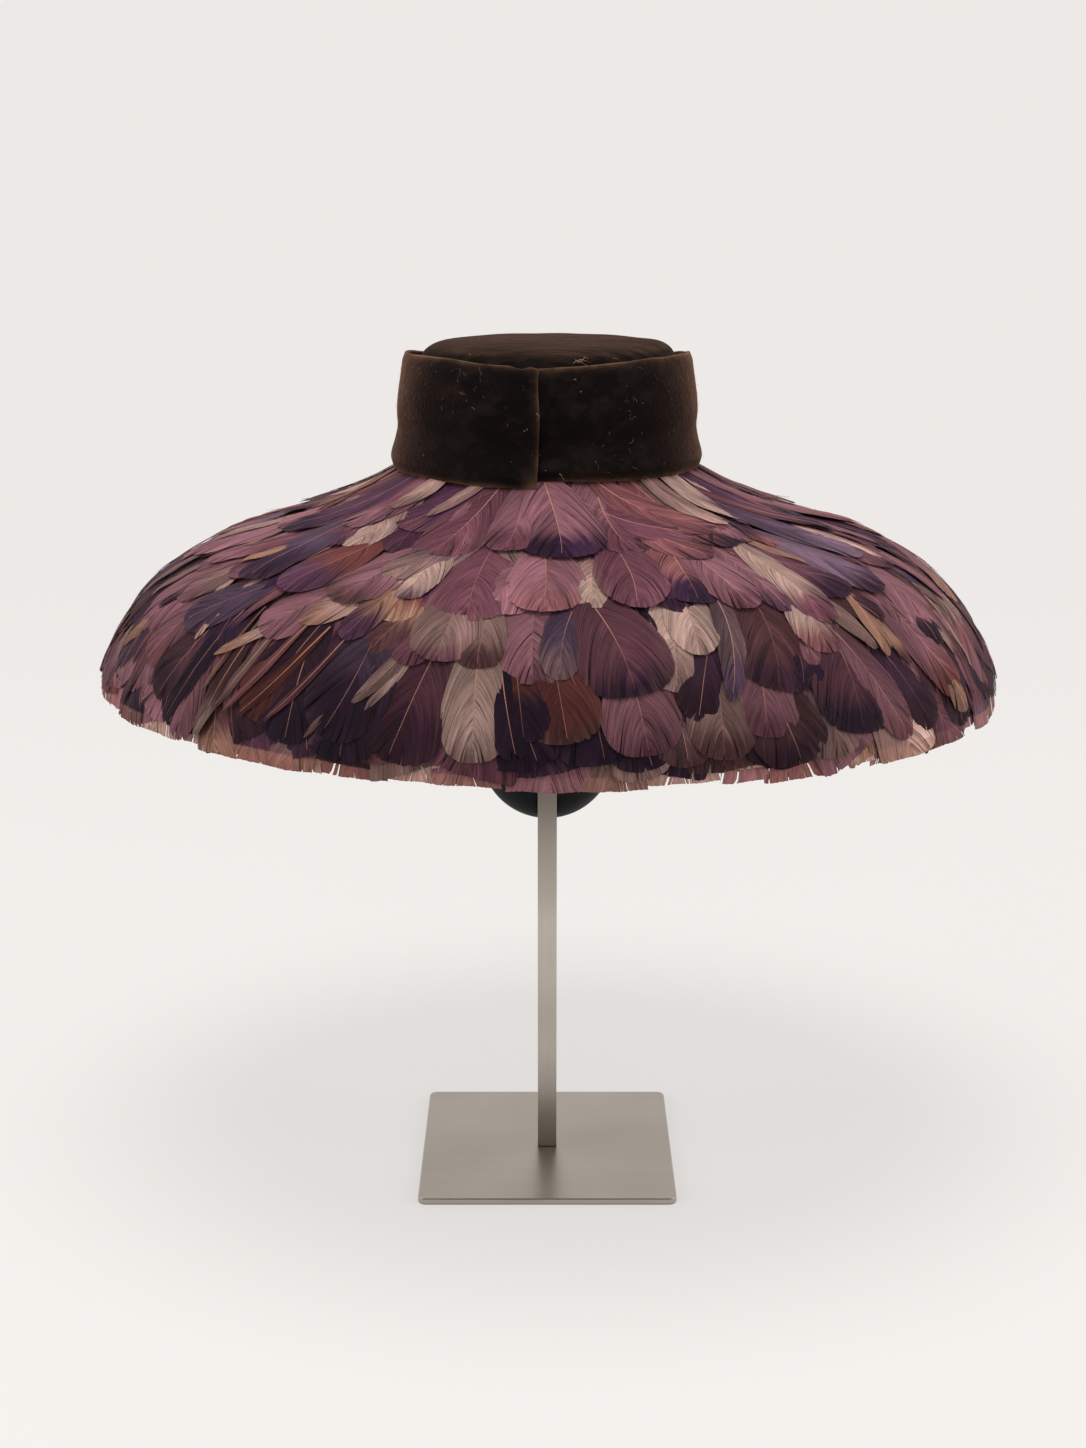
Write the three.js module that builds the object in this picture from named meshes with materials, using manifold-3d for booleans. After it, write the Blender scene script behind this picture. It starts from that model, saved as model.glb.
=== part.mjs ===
// A wide feather-covered hat with a velvet crown and a lapped velvet band, on a plain steel stand.
// Millimetres, +Z up, the front (the side with the band's lap) towards -Y.
// The origin is the centre of the stand's foot, on the surface that it stands on.
import * as THREE from "three";
import { mergeVertices } from "three/addons/utils/BufferGeometryUtils.js";
import Module from "manifold-3d";

const wasm = await Module();
wasm.setup();

// Driving dimensions
const GAP = 0.35; // between pieces that touch
const DEGREE = Math.PI / 180;
const FRONT = 270; // plan angle of the front, counted from +X towards +Y

const PLATE = { side: 150, thickness: 4, corner: 4, edge: 0.6 };
const POST = { side: 11.2, top: 322 };

// The black padded form on the post. Its lower end is a ball, and each row above is an oval section.
const PAD_BALL = { radius: 40, z: 243.7, centreY: 30, rings: 4 };
const PAD_SECTIONS = [
  { z: 285, halfWidth: 46, halfDepth: 44, centreY: 27 },
  { z: 335, halfWidth: 56, halfDepth: 53, centreY: 18 },
  { z: 385, halfWidth: 64, halfDepth: 62, centreY: 8 },
  { z: 430, halfWidth: 68, halfDepth: 67, centreY: 2 },
  { z: 462, halfWidth: 66, halfDepth: 66, centreY: 0 },
  { z: 478, halfWidth: 59, halfDepth: 59, centreY: 0 },
  { z: 484.5, halfWidth: 47, halfDepth: 47, centreY: 0 },
  { z: 487, halfWidth: 26, halfDepth: 26, centreY: 0 },
];
const PAD_TOP = { z: 487.6, y: 0 };
const PAD_COLUMNS = 24;

// The crown's outer outline, from its lower edge to the middle of its nearly flat top.
const CROWN_WALL = 2.5;
const CROWN_OUTLINE = [
  { radius: 79.4, z: 411.5 },
  { radius: 79.4, z: 424 },
  { radius: 77.2, z: 450 },
  { radius: 74, z: 470 },
  { radius: 71.6, z: 478.5 },
  { radius: 69, z: 483.5 },
  { radius: 64, z: 487 },
  { radius: 51, z: 489.4 },
  { radius: 27, z: 490.5 },
];
const CROWN_TOP = 490.8;
const CROWN_COLUMNS = 32;

// The outer surface of the feathers: a mushroom curve that falls steeply at the rim.
const BRIM_OUTLINE = [
  { radius: 81, z: 422.6 },
  { radius: 90, z: 417.4 },
  { radius: 103, z: 409.8 },
  { radius: 126, z: 399.6 },
  { radius: 155, z: 389.8 },
  { radius: 183, z: 380.2 },
  { radius: 206, z: 368.6 },
  { radius: 225.5, z: 353.5 },
  { radius: 240, z: 335.5 },
  { radius: 249.5, z: 317.5 },
  { radius: 255, z: 304 },
  { radius: 257.3, z: 292 },
];
const BRIM_DEPTH_SHARE = 0.875; // depth over width at the rim; the head opening is round
const BRIM_WALL = 2.5;
const BRIM_COLUMNS = 40;
const RIM_TRIM = 7; // how much less the rim hangs on its left
const RIM_TRIM_ANGLE = 205;
const RIM_TRIM_WIDTH = 75;

// Rows of feathers from the band to the rim. Each covers the root of the next one.
const FEATHER_THICKNESS = 1.2;
const FEATHER_RISE = 2.6; // a row's tips lie this much further out than its roots
const TIP_COLUMNS = 3; // columns to a feather
const FEATHER_ROWS = [
  { root: 6, tip: 80, feathers: 19, notch: 12, shift: 0 },
  { root: 63, tip: 133, feathers: 23, notch: 12, shift: 0.5 },
  { root: 116, tip: 180, feathers: 25, notch: 11, shift: 0 },
  { root: 163, tip: 213, feathers: 26, notch: 6, shift: 0.5 },
  { root: 197, tip: 232, feathers: 28, notch: 3, shift: 0 },
];
// The stiff foundation under the feathers, in three rings that meet, from the crown to just short
// of the feathers' rim.
const FOUNDATION_RINGS = [
  { name: "brim_foundation_inner", from: 0, to: 120 },
  { name: "brim_foundation_middle", from: 120 + GAP, to: 172 },
  { name: "brim_foundation_outer", from: 172 + GAP, to: 224 },
];
const ROOT_DEPTH = FEATHER_THICKNESS + FEATHER_RISE;
const SHELL_DEPTH = ROOT_DEPTH + GAP;

// The velvet band: one strip round the crown, whose left end laps over its right end at the front.
const BAND = { thickness: 2.2, lapEnd: FRONT - 3.3, lap: 9, settle: 24, columns: 58 };
const BAND_SECTION = [
  { share: 0, radius: 85.6 },
  { share: 0.07, radius: 87 },
  { share: 0.22, radius: 84.9 },
  { share: 0.33, radius: 83.7 },
  { share: 0.5, radius: 84.4 },
  { share: 0.8, radius: 82.2 },
  { share: 0.94, radius: 79.9 },
  { share: 1, radius: 77 },
];
// Heights of the band's two edges round the head, from the lapped-under end to the lap's edge, and
// how far its lower edge stands out there.
const BAND_EDGES = [
  { angle: 257, low: 421.6, high: 480, flare: 0 },
  { angle: 272, low: 421.6, high: 480.4, flare: 0 },
  { angle: 315, low: 420.6, high: 484.2, flare: 0 },
  { angle: 360, low: 420.2, high: 482.6, flare: 0 },
  { angle: 450, low: 420.4, high: 482.2, flare: 0 },
  { angle: 540, low: 420.2, high: 483, flare: 1 },
  { angle: 585, low: 419.6, high: 484, flare: 2 },
  { angle: 627, low: 418, high: 480.6, flare: 3 },
];

const STEEL = { color: 0x9a938a, roughness: 0.4, metalness: 0.9 };
const PAD_CLOTH = { color: 0x0b0c0e, roughness: 0.9, metalness: 0 };
const VELVET = { color: 0x241813, roughness: 0.95, metalness: 0 };
const FOUNDATION = { color: 0x3a2a2c, roughness: 0.9, metalness: 0 };
const FEATHERS = [0x7a5560, 0x6b4756, 0x85606a, 0x5b4050, 0x9a7370];

// Height or radius read from a table's rows, straight between them.
function between(rows, key, at, value) {
  if (at <= rows[0][key]) return rows[0][value];
  for (let i = 1; i < rows.length; i += 1) {
    if (at <= rows[i][key]) {
      const share = (at - rows[i - 1][key]) / (rows[i][key] - rows[i - 1][key]);
      return rows[i - 1][value] + share * (rows[i][value] - rows[i - 1][value]);
    }
  }
  return rows[rows.length - 1][value];
}

function smooth(share) {
  const t = Math.min(1, Math.max(0, share));
  return t * t * (3 - 2 * t);
}

// A closed body from columns, each a loop of the same number of points. A ring of columns closes on
// itself; an open run of columns is capped, and a loop then holds its outer points, then its inner
// points in the opposite order.
function bodyFromColumns(columns, ring) {
  const count = columns[0].length;
  const positions = columns.flatMap((loop) => loop.flatMap((p) => [p.x, p.y, p.z]));
  const index = [];
  const quad = (a, b, c, d) => index.push(a, b, c, a, c, d);
  const steps = ring ? columns.length : columns.length - 1;
  for (let i = 0; i < steps; i += 1) {
    const here = i * count;
    const next = ((i + 1) % columns.length) * count;
    for (let j = 0; j < count; j += 1) {
      const k = (j + 1) % count;
      quad(here + j, next + j, next + k, here + k);
    }
  }
  if (!ring) {
    const last = (columns.length - 1) * count;
    for (let j = 0; j < count / 2 - 1; j += 1) {
      quad(j, j + 1, count - 2 - j, count - 1 - j);
      quad(last + count - 1 - j, last + count - 2 - j, last + j + 1, last + j);
    }
  }
  return facingOut(positions, index);
}

// A closed body from level rings with a point at each end.
function bodyFromRings(start, rings, end) {
  const count = rings[0].length;
  const points = [start, ...rings.flat(), end];
  const index = [];
  const ringAt = (r, j) => 1 + r * count + (j % count);
  for (let j = 0; j < count; j += 1) {
    index.push(0, ringAt(0, j + 1), ringAt(0, j));
    for (let r = 0; r + 1 < rings.length; r += 1) {
      index.push(ringAt(r, j), ringAt(r, j + 1), ringAt(r + 1, j + 1));
      index.push(ringAt(r, j), ringAt(r + 1, j + 1), ringAt(r + 1, j));
    }
    index.push(points.length - 1, ringAt(rings.length - 1, j), ringAt(rings.length - 1, j + 1));
  }
  return facingOut(points.flatMap((p) => [p.x, p.y, p.z]), index);
}

// Turns every face round if the body's signed volume is negative.
function facingOut(positions, index) {
  const at = (i) => new THREE.Vector3().fromArray(positions, index[i] * 3);
  let volume = 0;
  for (let i = 0; i < index.length; i += 3) volume += at(i).dot(at(i + 1).cross(at(i + 2)));
  const faces = index.slice();
  if (volume < 0) {
    for (let i = 0; i < faces.length; i += 3) [faces[i + 1], faces[i + 2]] = [faces[i + 2], faces[i + 1]];
  }
  const geometry = new THREE.BufferGeometry();
  geometry.setAttribute("position", new THREE.Float32BufferAttribute(positions, 3));
  geometry.setIndex(faces);
  return geometry;
}

// The same geometry as a solid for boolean cuts, and back.
function toSolid(geometry) {
  const bare = geometry.clone();
  bare.deleteAttribute("normal");
  bare.deleteAttribute("uv");
  const merged = mergeVertices(bare, 1e-4);
  return new wasm.Manifold(
    new wasm.Mesh({
      numProp: 3,
      vertProperties: new Float32Array(merged.attributes.position.array),
      triVerts: new Uint32Array(merged.index.array),
    }),
  );
}

function fromSolid(solid) {
  const mesh = solid.getMesh();
  const geometry = new THREE.BufferGeometry();
  geometry.setAttribute("position", new THREE.BufferAttribute(new Float32Array(mesh.vertProperties), 3));
  geometry.setIndex(Array.from(mesh.triVerts));
  return geometry;
}

// The stations of the brim's outline, each with its distance along the outline and its outward normal.
const STATIONS = BRIM_OUTLINE.map((row) => ({ ...row, along: 0 }));
for (let i = 1; i < STATIONS.length; i += 1) {
  const step = Math.hypot(STATIONS[i].radius - STATIONS[i - 1].radius, STATIONS[i].z - STATIONS[i - 1].z);
  STATIONS[i].along = STATIONS[i - 1].along + step;
}
STATIONS.forEach((station, i) => {
  const a = STATIONS[Math.max(0, i - 1)];
  const b = STATIONS[Math.min(STATIONS.length - 1, i + 1)];
  const length = Math.hypot(b.radius - a.radius, b.z - a.z);
  station.normalR = (a.z - b.z) / length;
  station.normalZ = (b.radius - a.radius) / length;
});
const BRIM_LENGTH = STATIONS[STATIONS.length - 1].along;

// A point on the brim at a distance along its outline, a depth under its outer surface and a plan angle.
function brimPoint(along, depth, angle) {
  const station = (value) => between(STATIONS, "along", along, value);
  const beyond = Math.max(0, along - BRIM_LENGTH);
  const radius = station("radius") - depth * station("normalR");
  const z = station("z") - depth * station("normalZ") - beyond;
  const outward = (radius - STATIONS[0].radius) / (STATIONS[STATIONS.length - 1].radius - STATIONS[0].radius);
  const share = 1 - (1 - BRIM_DEPTH_SHARE) * Math.max(0, outward);
  return new THREE.Vector3(
    radius * Math.cos(angle * DEGREE),
    radius * share * Math.sin(angle * DEGREE),
    z,
  );
}

// How much shorter the rim is at a plan angle.
function rimTrim(angle) {
  const turn = Math.abs(((angle - RIM_TRIM_ANGLE + 540) % 360) - 180);
  return RIM_TRIM * smooth(1 - turn / RIM_TRIM_WIDTH);
}

// A wall that follows the brim, from one distance along it to another, as one column's loop.
function brimLoop(from, to, depthAt, thickness, angle) {
  const inside = STATIONS.map((s) => s.along).filter((s) => s > from + 2 && s < to - 2);
  return { stations: [from, ...inside, to], depthAt, thickness, angle };
}

function loopPoints({ stations, depthAt, thickness, angle }) {
  const outer = stations.map((s) => brimPoint(s, depthAt(s), angle));
  const inner = stations.map((s) => brimPoint(s, depthAt(s) + thickness, angle));
  return [...outer, ...inner.reverse()];
}

// A point moved straight out to the crown's wall where it would lie inside it.
function clearOfCrown(point) {
  const seat = CROWN_OUTLINE[0].radius + GAP;
  const out = Math.hypot(point.x, point.y);
  return out < seat ? new THREE.Vector3((point.x * seat) / out, (point.y * seat) / out, point.z) : point;
}

function foundationRing(ring, isRim) {
  const columns = [];
  for (let i = 0; i < BRIM_COLUMNS; i += 1) {
    const angle = (360 * i) / BRIM_COLUMNS;
    const loop = brimLoop(ring.from, ring.to, () => SHELL_DEPTH, BRIM_WALL, angle);
    loop.stations[loop.stations.length - 1] -= isRim ? rimTrim(angle) : 0;
    columns.push(loopPoints(loop).map(clearOfCrown));
  }
  return bodyFromColumns(columns, true);
}

// One ring of overlapping feathers, with a notch between each pair of blunt tips.
function featherRow(row, isRim) {
  const columns = [];
  const count = row.feathers * TIP_COLUMNS;
  const rise = (s) => ROOT_DEPTH - FEATHER_THICKNESS - (FEATHER_RISE * (s - row.root)) / (row.tip - row.root);
  for (let i = 0; i < count; i += 1) {
    const angle = FRONT + (360 * (i / TIP_COLUMNS + row.shift)) / row.feathers;
    const loop = brimLoop(row.root, row.tip - row.notch, rise, FEATHER_THICKNESS, angle);
    const tip = i % TIP_COLUMNS === 0 ? row.tip - row.notch : row.tip;
    loop.stations[loop.stations.length - 1] = tip - (isRim ? rimTrim(angle) : 0);
    columns.push(loopPoints(loop));
  }
  return bodyFromColumns(columns, true);
}

function velvetBand() {
  const start = BAND.lapEnd - BAND.lap;
  const end = BAND.lapEnd + 360;
  const columns = [];
  for (let i = 0; i <= BAND.columns; i += 1) {
    const angle = start + ((end - start) * i) / BAND.columns;
    const tuck = 1 - smooth((angle - start - BAND.lap) / BAND.settle);
    const inset = (BAND.thickness + GAP) * tuck;
    const low = between(BAND_EDGES, "angle", angle, "low");
    const high = between(BAND_EDGES, "angle", angle, "high");
    const flare = between(BAND_EDGES, "angle", angle, "flare");
    const pointsAt = (offset) =>
      BAND_SECTION.map(({ share, radius }) => {
        const r = radius + flare * (1 - share) ** 2 - inset - offset;
        return new THREE.Vector3(
          r * Math.cos(angle * DEGREE),
          r * Math.sin(angle * DEGREE),
          low + share * (high - low),
        );
      });
    columns.push([...pointsAt(0), ...pointsAt(BAND.thickness).reverse()]);
  }
  return bodyFromColumns(columns, false);
}

function crown() {
  const outer = CROWN_OUTLINE.map(({ radius, z }) => new THREE.Vector2(radius, z));
  const inner = outer.map((p, i) => {
    const a = outer[Math.max(0, i - 1)];
    const b = outer[i + 1] ?? new THREE.Vector2(0, CROWN_TOP);
    const length = a.distanceTo(b);
    return new THREE.Vector2(
      p.x - (CROWN_WALL * (b.y - a.y)) / length,
      i === 0 ? p.y : p.y - (CROWN_WALL * (a.x - b.x)) / length,
    );
  });
  const profile = [
    new THREE.Vector2(0, CROWN_TOP - CROWN_WALL),
    ...inner.reverse(),
    ...outer,
    new THREE.Vector2(0, CROWN_TOP),
  ];
  const lathe = new THREE.LatheGeometry(profile, CROWN_COLUMNS);
  lathe.rotateX(90 * DEGREE);
  return lathe;
}

function supportPad() {
  const ring = ({ z, halfWidth, halfDepth, centreY }) =>
    Array.from({ length: PAD_COLUMNS }, (_, i) => {
      const angle = (360 * i * DEGREE) / PAD_COLUMNS;
      return new THREE.Vector3(halfWidth * Math.cos(angle), centreY + halfDepth * Math.sin(angle), z);
    });
  const ball = Array.from({ length: PAD_BALL.rings }, (_, i) => {
    const angle = (90 * (i + 1) * DEGREE) / PAD_BALL.rings;
    const radius = PAD_BALL.radius * Math.sin(angle);
    const z = PAD_BALL.z - PAD_BALL.radius * Math.cos(angle);
    return ring({ z, halfWidth: radius, halfDepth: radius, centreY: PAD_BALL.centreY });
  });
  const form = bodyFromRings(
    new THREE.Vector3(0, PAD_BALL.centreY, PAD_BALL.z - PAD_BALL.radius),
    [...ball, ...PAD_SECTIONS.map(ring)],
    new THREE.Vector3(0, PAD_TOP.y, PAD_TOP.z),
  );
  return fromSolid(toSolid(form).subtract(toSolid(postChannel())));
}

// The room that the post takes in the pad, open to the front and below.
function postChannel() {
  const half = POST.side / 2 + GAP;
  const front = -120;
  const channel = new THREE.BoxGeometry(2 * half, half - front, POST.top + GAP);
  channel.translate(0, (half + front) / 2, (POST.top + GAP) / 2);
  return channel;
}

function standPlate() {
  const half = PLATE.side / 2 - PLATE.edge;
  const outline = new THREE.Shape();
  const corners = [0, 90, 180, 270];
  corners.forEach((turn) => {
    const cx = (half - PLATE.corner) * (turn === 90 || turn === 180 ? -1 : 1);
    const cy = (half - PLATE.corner) * (turn >= 180 ? -1 : 1);
    outline.absarc(cx, cy, PLATE.corner, turn * DEGREE, (turn + 90) * DEGREE, false);
  });
  const plate = new THREE.ExtrudeGeometry(outline, {
    depth: PLATE.thickness - 2 * PLATE.edge,
    bevelEnabled: true,
    bevelSize: PLATE.edge,
    bevelThickness: PLATE.edge,
    bevelSegments: 1,
    curveSegments: 3,
  });
  return plate;
}

const POST_FOOT = PLATE.thickness + GAP;
const POST_LENGTH = POST.top - POST_FOOT;

function addPiece(group, name, geometry, look, height = 0) {
  const mesh = new THREE.Mesh(geometry, new THREE.MeshStandardMaterial(look));
  mesh.name = name;
  mesh.position.z = height;
  group.add(mesh);
}

function stand() {
  const group = new THREE.Group();
  const post = new THREE.BoxGeometry(POST.side, POST.side, POST_LENGTH);
  addPiece(group, "stand_plate", standPlate(), STEEL, PLATE.edge);
  addPiece(group, "stand_post", post, STEEL, POST_FOOT + POST_LENGTH / 2);
  addPiece(group, "support_pad", supportPad(), PAD_CLOTH);
  return group;
}

function hat() {
  const group = new THREE.Group();
  addPiece(group, "crown", crown(), VELVET);
  addPiece(group, "velvet_band", velvetBand(), VELVET);
  FOUNDATION_RINGS.forEach((ring, i) => {
    const isRim = i === FOUNDATION_RINGS.length - 1;
    addPiece(group, ring.name, foundationRing(ring, isRim), FOUNDATION);
  });
  FEATHER_ROWS.forEach((row, i) => {
    const isRim = i === FEATHER_ROWS.length - 1;
    const look = { color: FEATHERS[i], roughness: 0.6, metalness: 0 };
    addPiece(group, `feather_row_${i + 1}`, featherRow(row, isRim), look);
  });
  return group;
}

const hatOnStand = new THREE.Group();
hatOnStand.add(stand(), hat());

export default hatOnStand;
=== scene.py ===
# The looks of a feather-covered hat with a velvet band, on a plain steel stand.
# Shapes are worked out in millimetres and become metres when a mesh is made. The front is -Y.
import math
from dataclasses import dataclass

import bpy
import numpy as np
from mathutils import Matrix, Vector


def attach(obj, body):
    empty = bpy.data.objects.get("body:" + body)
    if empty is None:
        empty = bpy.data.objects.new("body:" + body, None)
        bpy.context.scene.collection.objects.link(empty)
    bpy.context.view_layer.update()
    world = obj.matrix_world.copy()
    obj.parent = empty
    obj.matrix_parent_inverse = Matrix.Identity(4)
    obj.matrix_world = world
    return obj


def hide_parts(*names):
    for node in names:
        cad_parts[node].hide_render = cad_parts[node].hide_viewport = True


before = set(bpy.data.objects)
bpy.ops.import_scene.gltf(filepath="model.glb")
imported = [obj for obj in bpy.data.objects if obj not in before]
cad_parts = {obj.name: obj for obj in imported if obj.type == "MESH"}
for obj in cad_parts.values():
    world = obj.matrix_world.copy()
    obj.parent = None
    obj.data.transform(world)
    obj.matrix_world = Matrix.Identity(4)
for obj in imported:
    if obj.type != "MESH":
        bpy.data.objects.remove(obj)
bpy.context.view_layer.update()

MM = 0.001
FRONT = 270.0  # plan angle of the front, in degrees from +X towards +Y
BODY = "root"
SEEDS = {"crown": 7, "band": 21, "rows": 40, "threads": 61, "wisps": 77, "barbs": 90}

# The camera that the photograph was taken with, in millimetres and in the photograph's pixels.
PHOTO_WIDTH = 1086
PHOTO_HEIGHT = 1448
FOCAL_PIXELS = 2207.0
EYE = np.array([-2.5, -1240.0, 592.8])
PITCH = math.radians(14.67)
SENSOR = 36.0

# The brim: the feathers' outer surface as (radius, height), as in the CAD model.
BRIM_OUTLINE = np.array([
    (81, 422.6), (90, 417.4), (103, 409.8), (126, 399.6), (155, 389.8), (183, 380.2),
    (206, 368.6), (225.5, 353.5), (240, 335.5), (249.5, 317.5), (255, 304), (257.3, 292),
])
BRIM_DEPTH_SHARE = 0.875
FOUNDATION_DEPTH = 4.15  # the foundation's upper face lies this far under the feathers' surface
FOUNDATION_WALL = 2.5
FOUNDATION_EDGE = 224.0  # distance along the outline where the foundation ends
RIM = 231.5  # where the feathers are trimmed
RIM_TRIM = 7.0  # how much less the rim hangs on its left
RIM_TRIM_ANGLE = 205.0
RIM_TRIM_WIDTH = 75.0
FOUNDATION_NODES = ["brim_foundation_inner", "brim_foundation_middle", "brim_foundation_outer"]

CROWN_OUTLINE = np.array([
    (79.4, 411.5), (79.4, 424), (77.2, 450), (74, 470), (71.6, 478.5), (69, 483.5),
    (64, 487), (51, 489.4), (27, 490.5), (0, 490.8),
])
CROWN_WALL = 2.5
CROWN_SOFT = (470, 12)  # the height from which its top is dented, and over how much the dents come in
CROWN_WORN = (484, 3)  # the same for the wear of its edge, by height and by distance from the axis
CROWN_WORN_OUT = (60, 6)

# The band: outer radius by share of its height, and its edges round the head.
BAND_SECTION = np.array([
    (0, 85.6), (0.07, 87), (0.22, 84.9), (0.33, 83.7), (0.5, 84.4), (0.8, 82.4), (0.94, 81), (1, 79.4),
])
BAND_EDGES = np.array([  # angle, lower edge, upper edge, how far the lower edge stands out
    (257, 421.6, 480, 0), (272, 421.6, 480.4, 0), (315, 420.6, 484.2, 0), (360, 420.2, 482.8, 0),
    (385, 420.2, 479.4, 0), (450, 420.4, 478.4, 0), (515, 420.2, 479.4, 1), (540, 420.2, 483.2, 1),
    (585, 419.6, 484, 2), (627, 418, 480.6, 3),
])
BAND_THICKNESS = 2.2
BAND_LAP = 9.0  # degrees
BAND_SETTLE = 24.0  # degrees past the lap over which the lower layer comes out to the surface
BAND_GAP = 0.35
BAND_LAP_END = FRONT - 3.3
BAND_RADIUS = 84.0  # where lengths round the band are measured
LAP_NOTCH = 454.0  # height of a small worn notch in the lap's edge

# Loose threads on the velvet, as pixels of the photograph, and specks of lint.
THREADS = [
    [(560, 474), (563, 477), (564, 482)], [(574, 364), (579, 359), (584, 361)],
    [(577, 365), (582, 361), (590, 363)], [(580, 364), (586, 358), (589, 360)],
    [(575, 361), (583, 364), (588, 365)], [(612, 360), (616, 358), (619, 361)],
    [(536, 413), (538, 417), (536, 421)], [(486, 490), (491, 488), (495, 492)],
    [(640, 480), (646, 478), (650, 481)],
]
THREAD_RADIUS = 0.13
LINT_COUNT = 340
LINT_RADIUS = 0.05

# The stand, its painted shade as metres up and share, and the padded form.
POST_HALF = 5.6
# Painted shade and reflection: the post is darker at its top, under the brim's dark underside, and near its
# foot.
POST_PAINTED_SHADE = [(0.002, 0.8), (0.03, 0.35), (0.07, 0.0), (0.15, 0.0), (0.23, 0.8)]
# Painted contact shadow along the plate's lowest edge, with a slight even darkening of the rest.
PLATE_PAINTED_SHADOW = [(0.0004, 0.95), (0.0012, 0.14)]
PAD_BALL_RADIUS = 40.0
PAD_BALL_Z = 243.7
PAD_BALL_Y = 30.0
PAD_SECTIONS = np.array([  # height, half width, half depth, centre's y
    (243.7, 40, 40, 30), (285, 46, 44, 27), (335, 56, 53, 18), (385, 64, 62, 8), (430, 68, 67, 2),
    (462, 66, 66, 0), (478, 59, 59, 0), (484.5, 47, 47, 0), (487, 26, 26, 0), (487.6, 0, 0, 0),
])
CHANNEL_HALF = POST_HALF + 0.5  # the post's channel in the padded form
CHANNEL_TOP = 322.6
CHANNEL_FRONT = -120.0

# The backdrop and the lamps, in metres and watts.
STAGE_RINGS = [0.01, 0.5, 1, 1.6]  # the flat floor's inner rings
STAGE_FLAT = 2.2
STAGE_RADIUS = 3.6
STAGE_HEIGHT = 4.5
STAGE_DROP = 0.00005  # how far the floor lies under the foot
LAMPS = [
    {"name": "top", "place": (-0.1, -0.5, 2.5), "size": 1.4, "power": 41},
    {"name": "left", "place": (-2.4, -0.7, 1.1), "size": 1.6, "power": 27},
    {"name": "right", "place": (2.4, -0.7, 1.1), "size": 1.6, "power": 27},
]
LAMP_AIM = (0, 0, 0.3)
LAMP_COLOUR = (1, 0.985, 0.965)
SKY_COLOUR = (1.0, 0.98, 0.96, 1)
SKY_STRENGTH = 0.36

# Feather dyes, as the eye sees them (0 to 255).
DYES = {
    "plum": (112, 67, 80), "mauve": (146, 97, 108), "rose": (143, 88, 92), "violet": (90, 54, 79),
    "aubergine": (68, 36, 54), "ink": (49, 26, 50), "taupe": (150, 116, 111), "beige": (190, 156, 145),
    "tan": (174, 128, 109), "rust": (116, 61, 58), "slate": (86, 64, 86), "cocoa": (94, 58, 61),
    "lavender": (121, 94, 115), "blush": (202, 162, 152), "grey": (118, 91, 95),
}
PALE_DYES = ("taupe", "beige", "tan", "lavender", "blush", "grey", "mauve", "rose")
# Pale edge colour of the feathers, partly pale margins and partly a painted highlight.
EDGE_PALE_AND_HIGHLIGHT = (210, 164, 148)


def srgb(colour):
    """Colours as the eye sees them (0 to 255), as linear light."""
    c = np.asarray(colour, float) / 255
    return np.where(c <= 0.04045, c / 12.92, ((c + 0.055) / 1.055) ** 2.4)


def solid(colour):
    """A colour as the eye sees it, as a shader takes it."""
    return (*srgb(colour), 1.0)


def smooth(share):
    """0 to 1 with eased ends, held at both."""
    t = np.clip(share, 0, 1)
    return t * t * (3 - 2 * t)


def eased(x, start, over):
    """0 up to a start, then 1 after so much more."""
    return smooth((x - start) / over)


def spline(xs, ys):
    """A smooth curve through points, straight beyond its ends."""
    xs, ys = np.asarray(xs, float), np.asarray(ys, float)
    steps = np.diff(ys) / np.diff(xs)
    slopes = np.concatenate([steps[:1], (steps[1:] + steps[:-1]) / 2, steps[-1:]])

    def at(x):
        x = np.asarray(x, float)
        i = np.clip(np.searchsorted(xs, x) - 1, 0, len(xs) - 2)
        h = xs[i + 1] - xs[i]
        t = np.clip((x - xs[i]) / h, 0, 1)
        value = (
            ys[i] * (1 + 2 * t) * (1 - t) ** 2 + ys[i + 1] * t * t * (3 - 2 * t)
            + h * slopes[i] * t * (1 - t) ** 2 + h * slopes[i + 1] * t * t * (t - 1)
        )
        before, after = np.minimum(x - xs[0], 0), np.maximum(x - xs[-1], 0)
        return value + before * slopes[0] + after * slopes[-1]

    return at


def column(table, k=1):
    """One column of a table as a smooth curve over its first column."""
    return spline(table[:, 0], table[:, k])


def hump(x, centre, width):
    """1 at the centre, falling smoothly to nothing on both sides."""
    return np.exp(-(((x - centre) / width) ** 2))


def run_along(points):
    """The distance from the first point to each one, along the line through them."""
    return np.concatenate([[0], np.cumsum(np.hypot(*np.diff(points, axis=0).T))])


def all_round(count):
    """Angles in degrees, evenly all round."""
    return np.arange(count) * 360 / count


def turned_points(radius, angle, height):
    """Points round the hat's axis, angles in radians."""
    return np.stack(np.broadcast_arrays(radius * np.cos(angle), radius * np.sin(angle), height), -1)


def ripples(seed, count, low, high):
    """A smooth random field of two coordinates, made of a few sine waves; about -1 to 1."""
    rng = np.random.default_rng(seed)
    turn = rng.uniform(0, 2 * math.pi, count)
    pitch = rng.uniform(low, high, count)
    phase = rng.uniform(0, 2 * math.pi, count)

    def at(x, y):
        total = 0.0
        for k in range(count):
            along = np.cos(turn[k]) * x + np.sin(turn[k]) * y
            total = total + np.sin(pitch[k] * along + phase[k])
        return total / math.sqrt(count)

    return at


# Meshes

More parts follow.
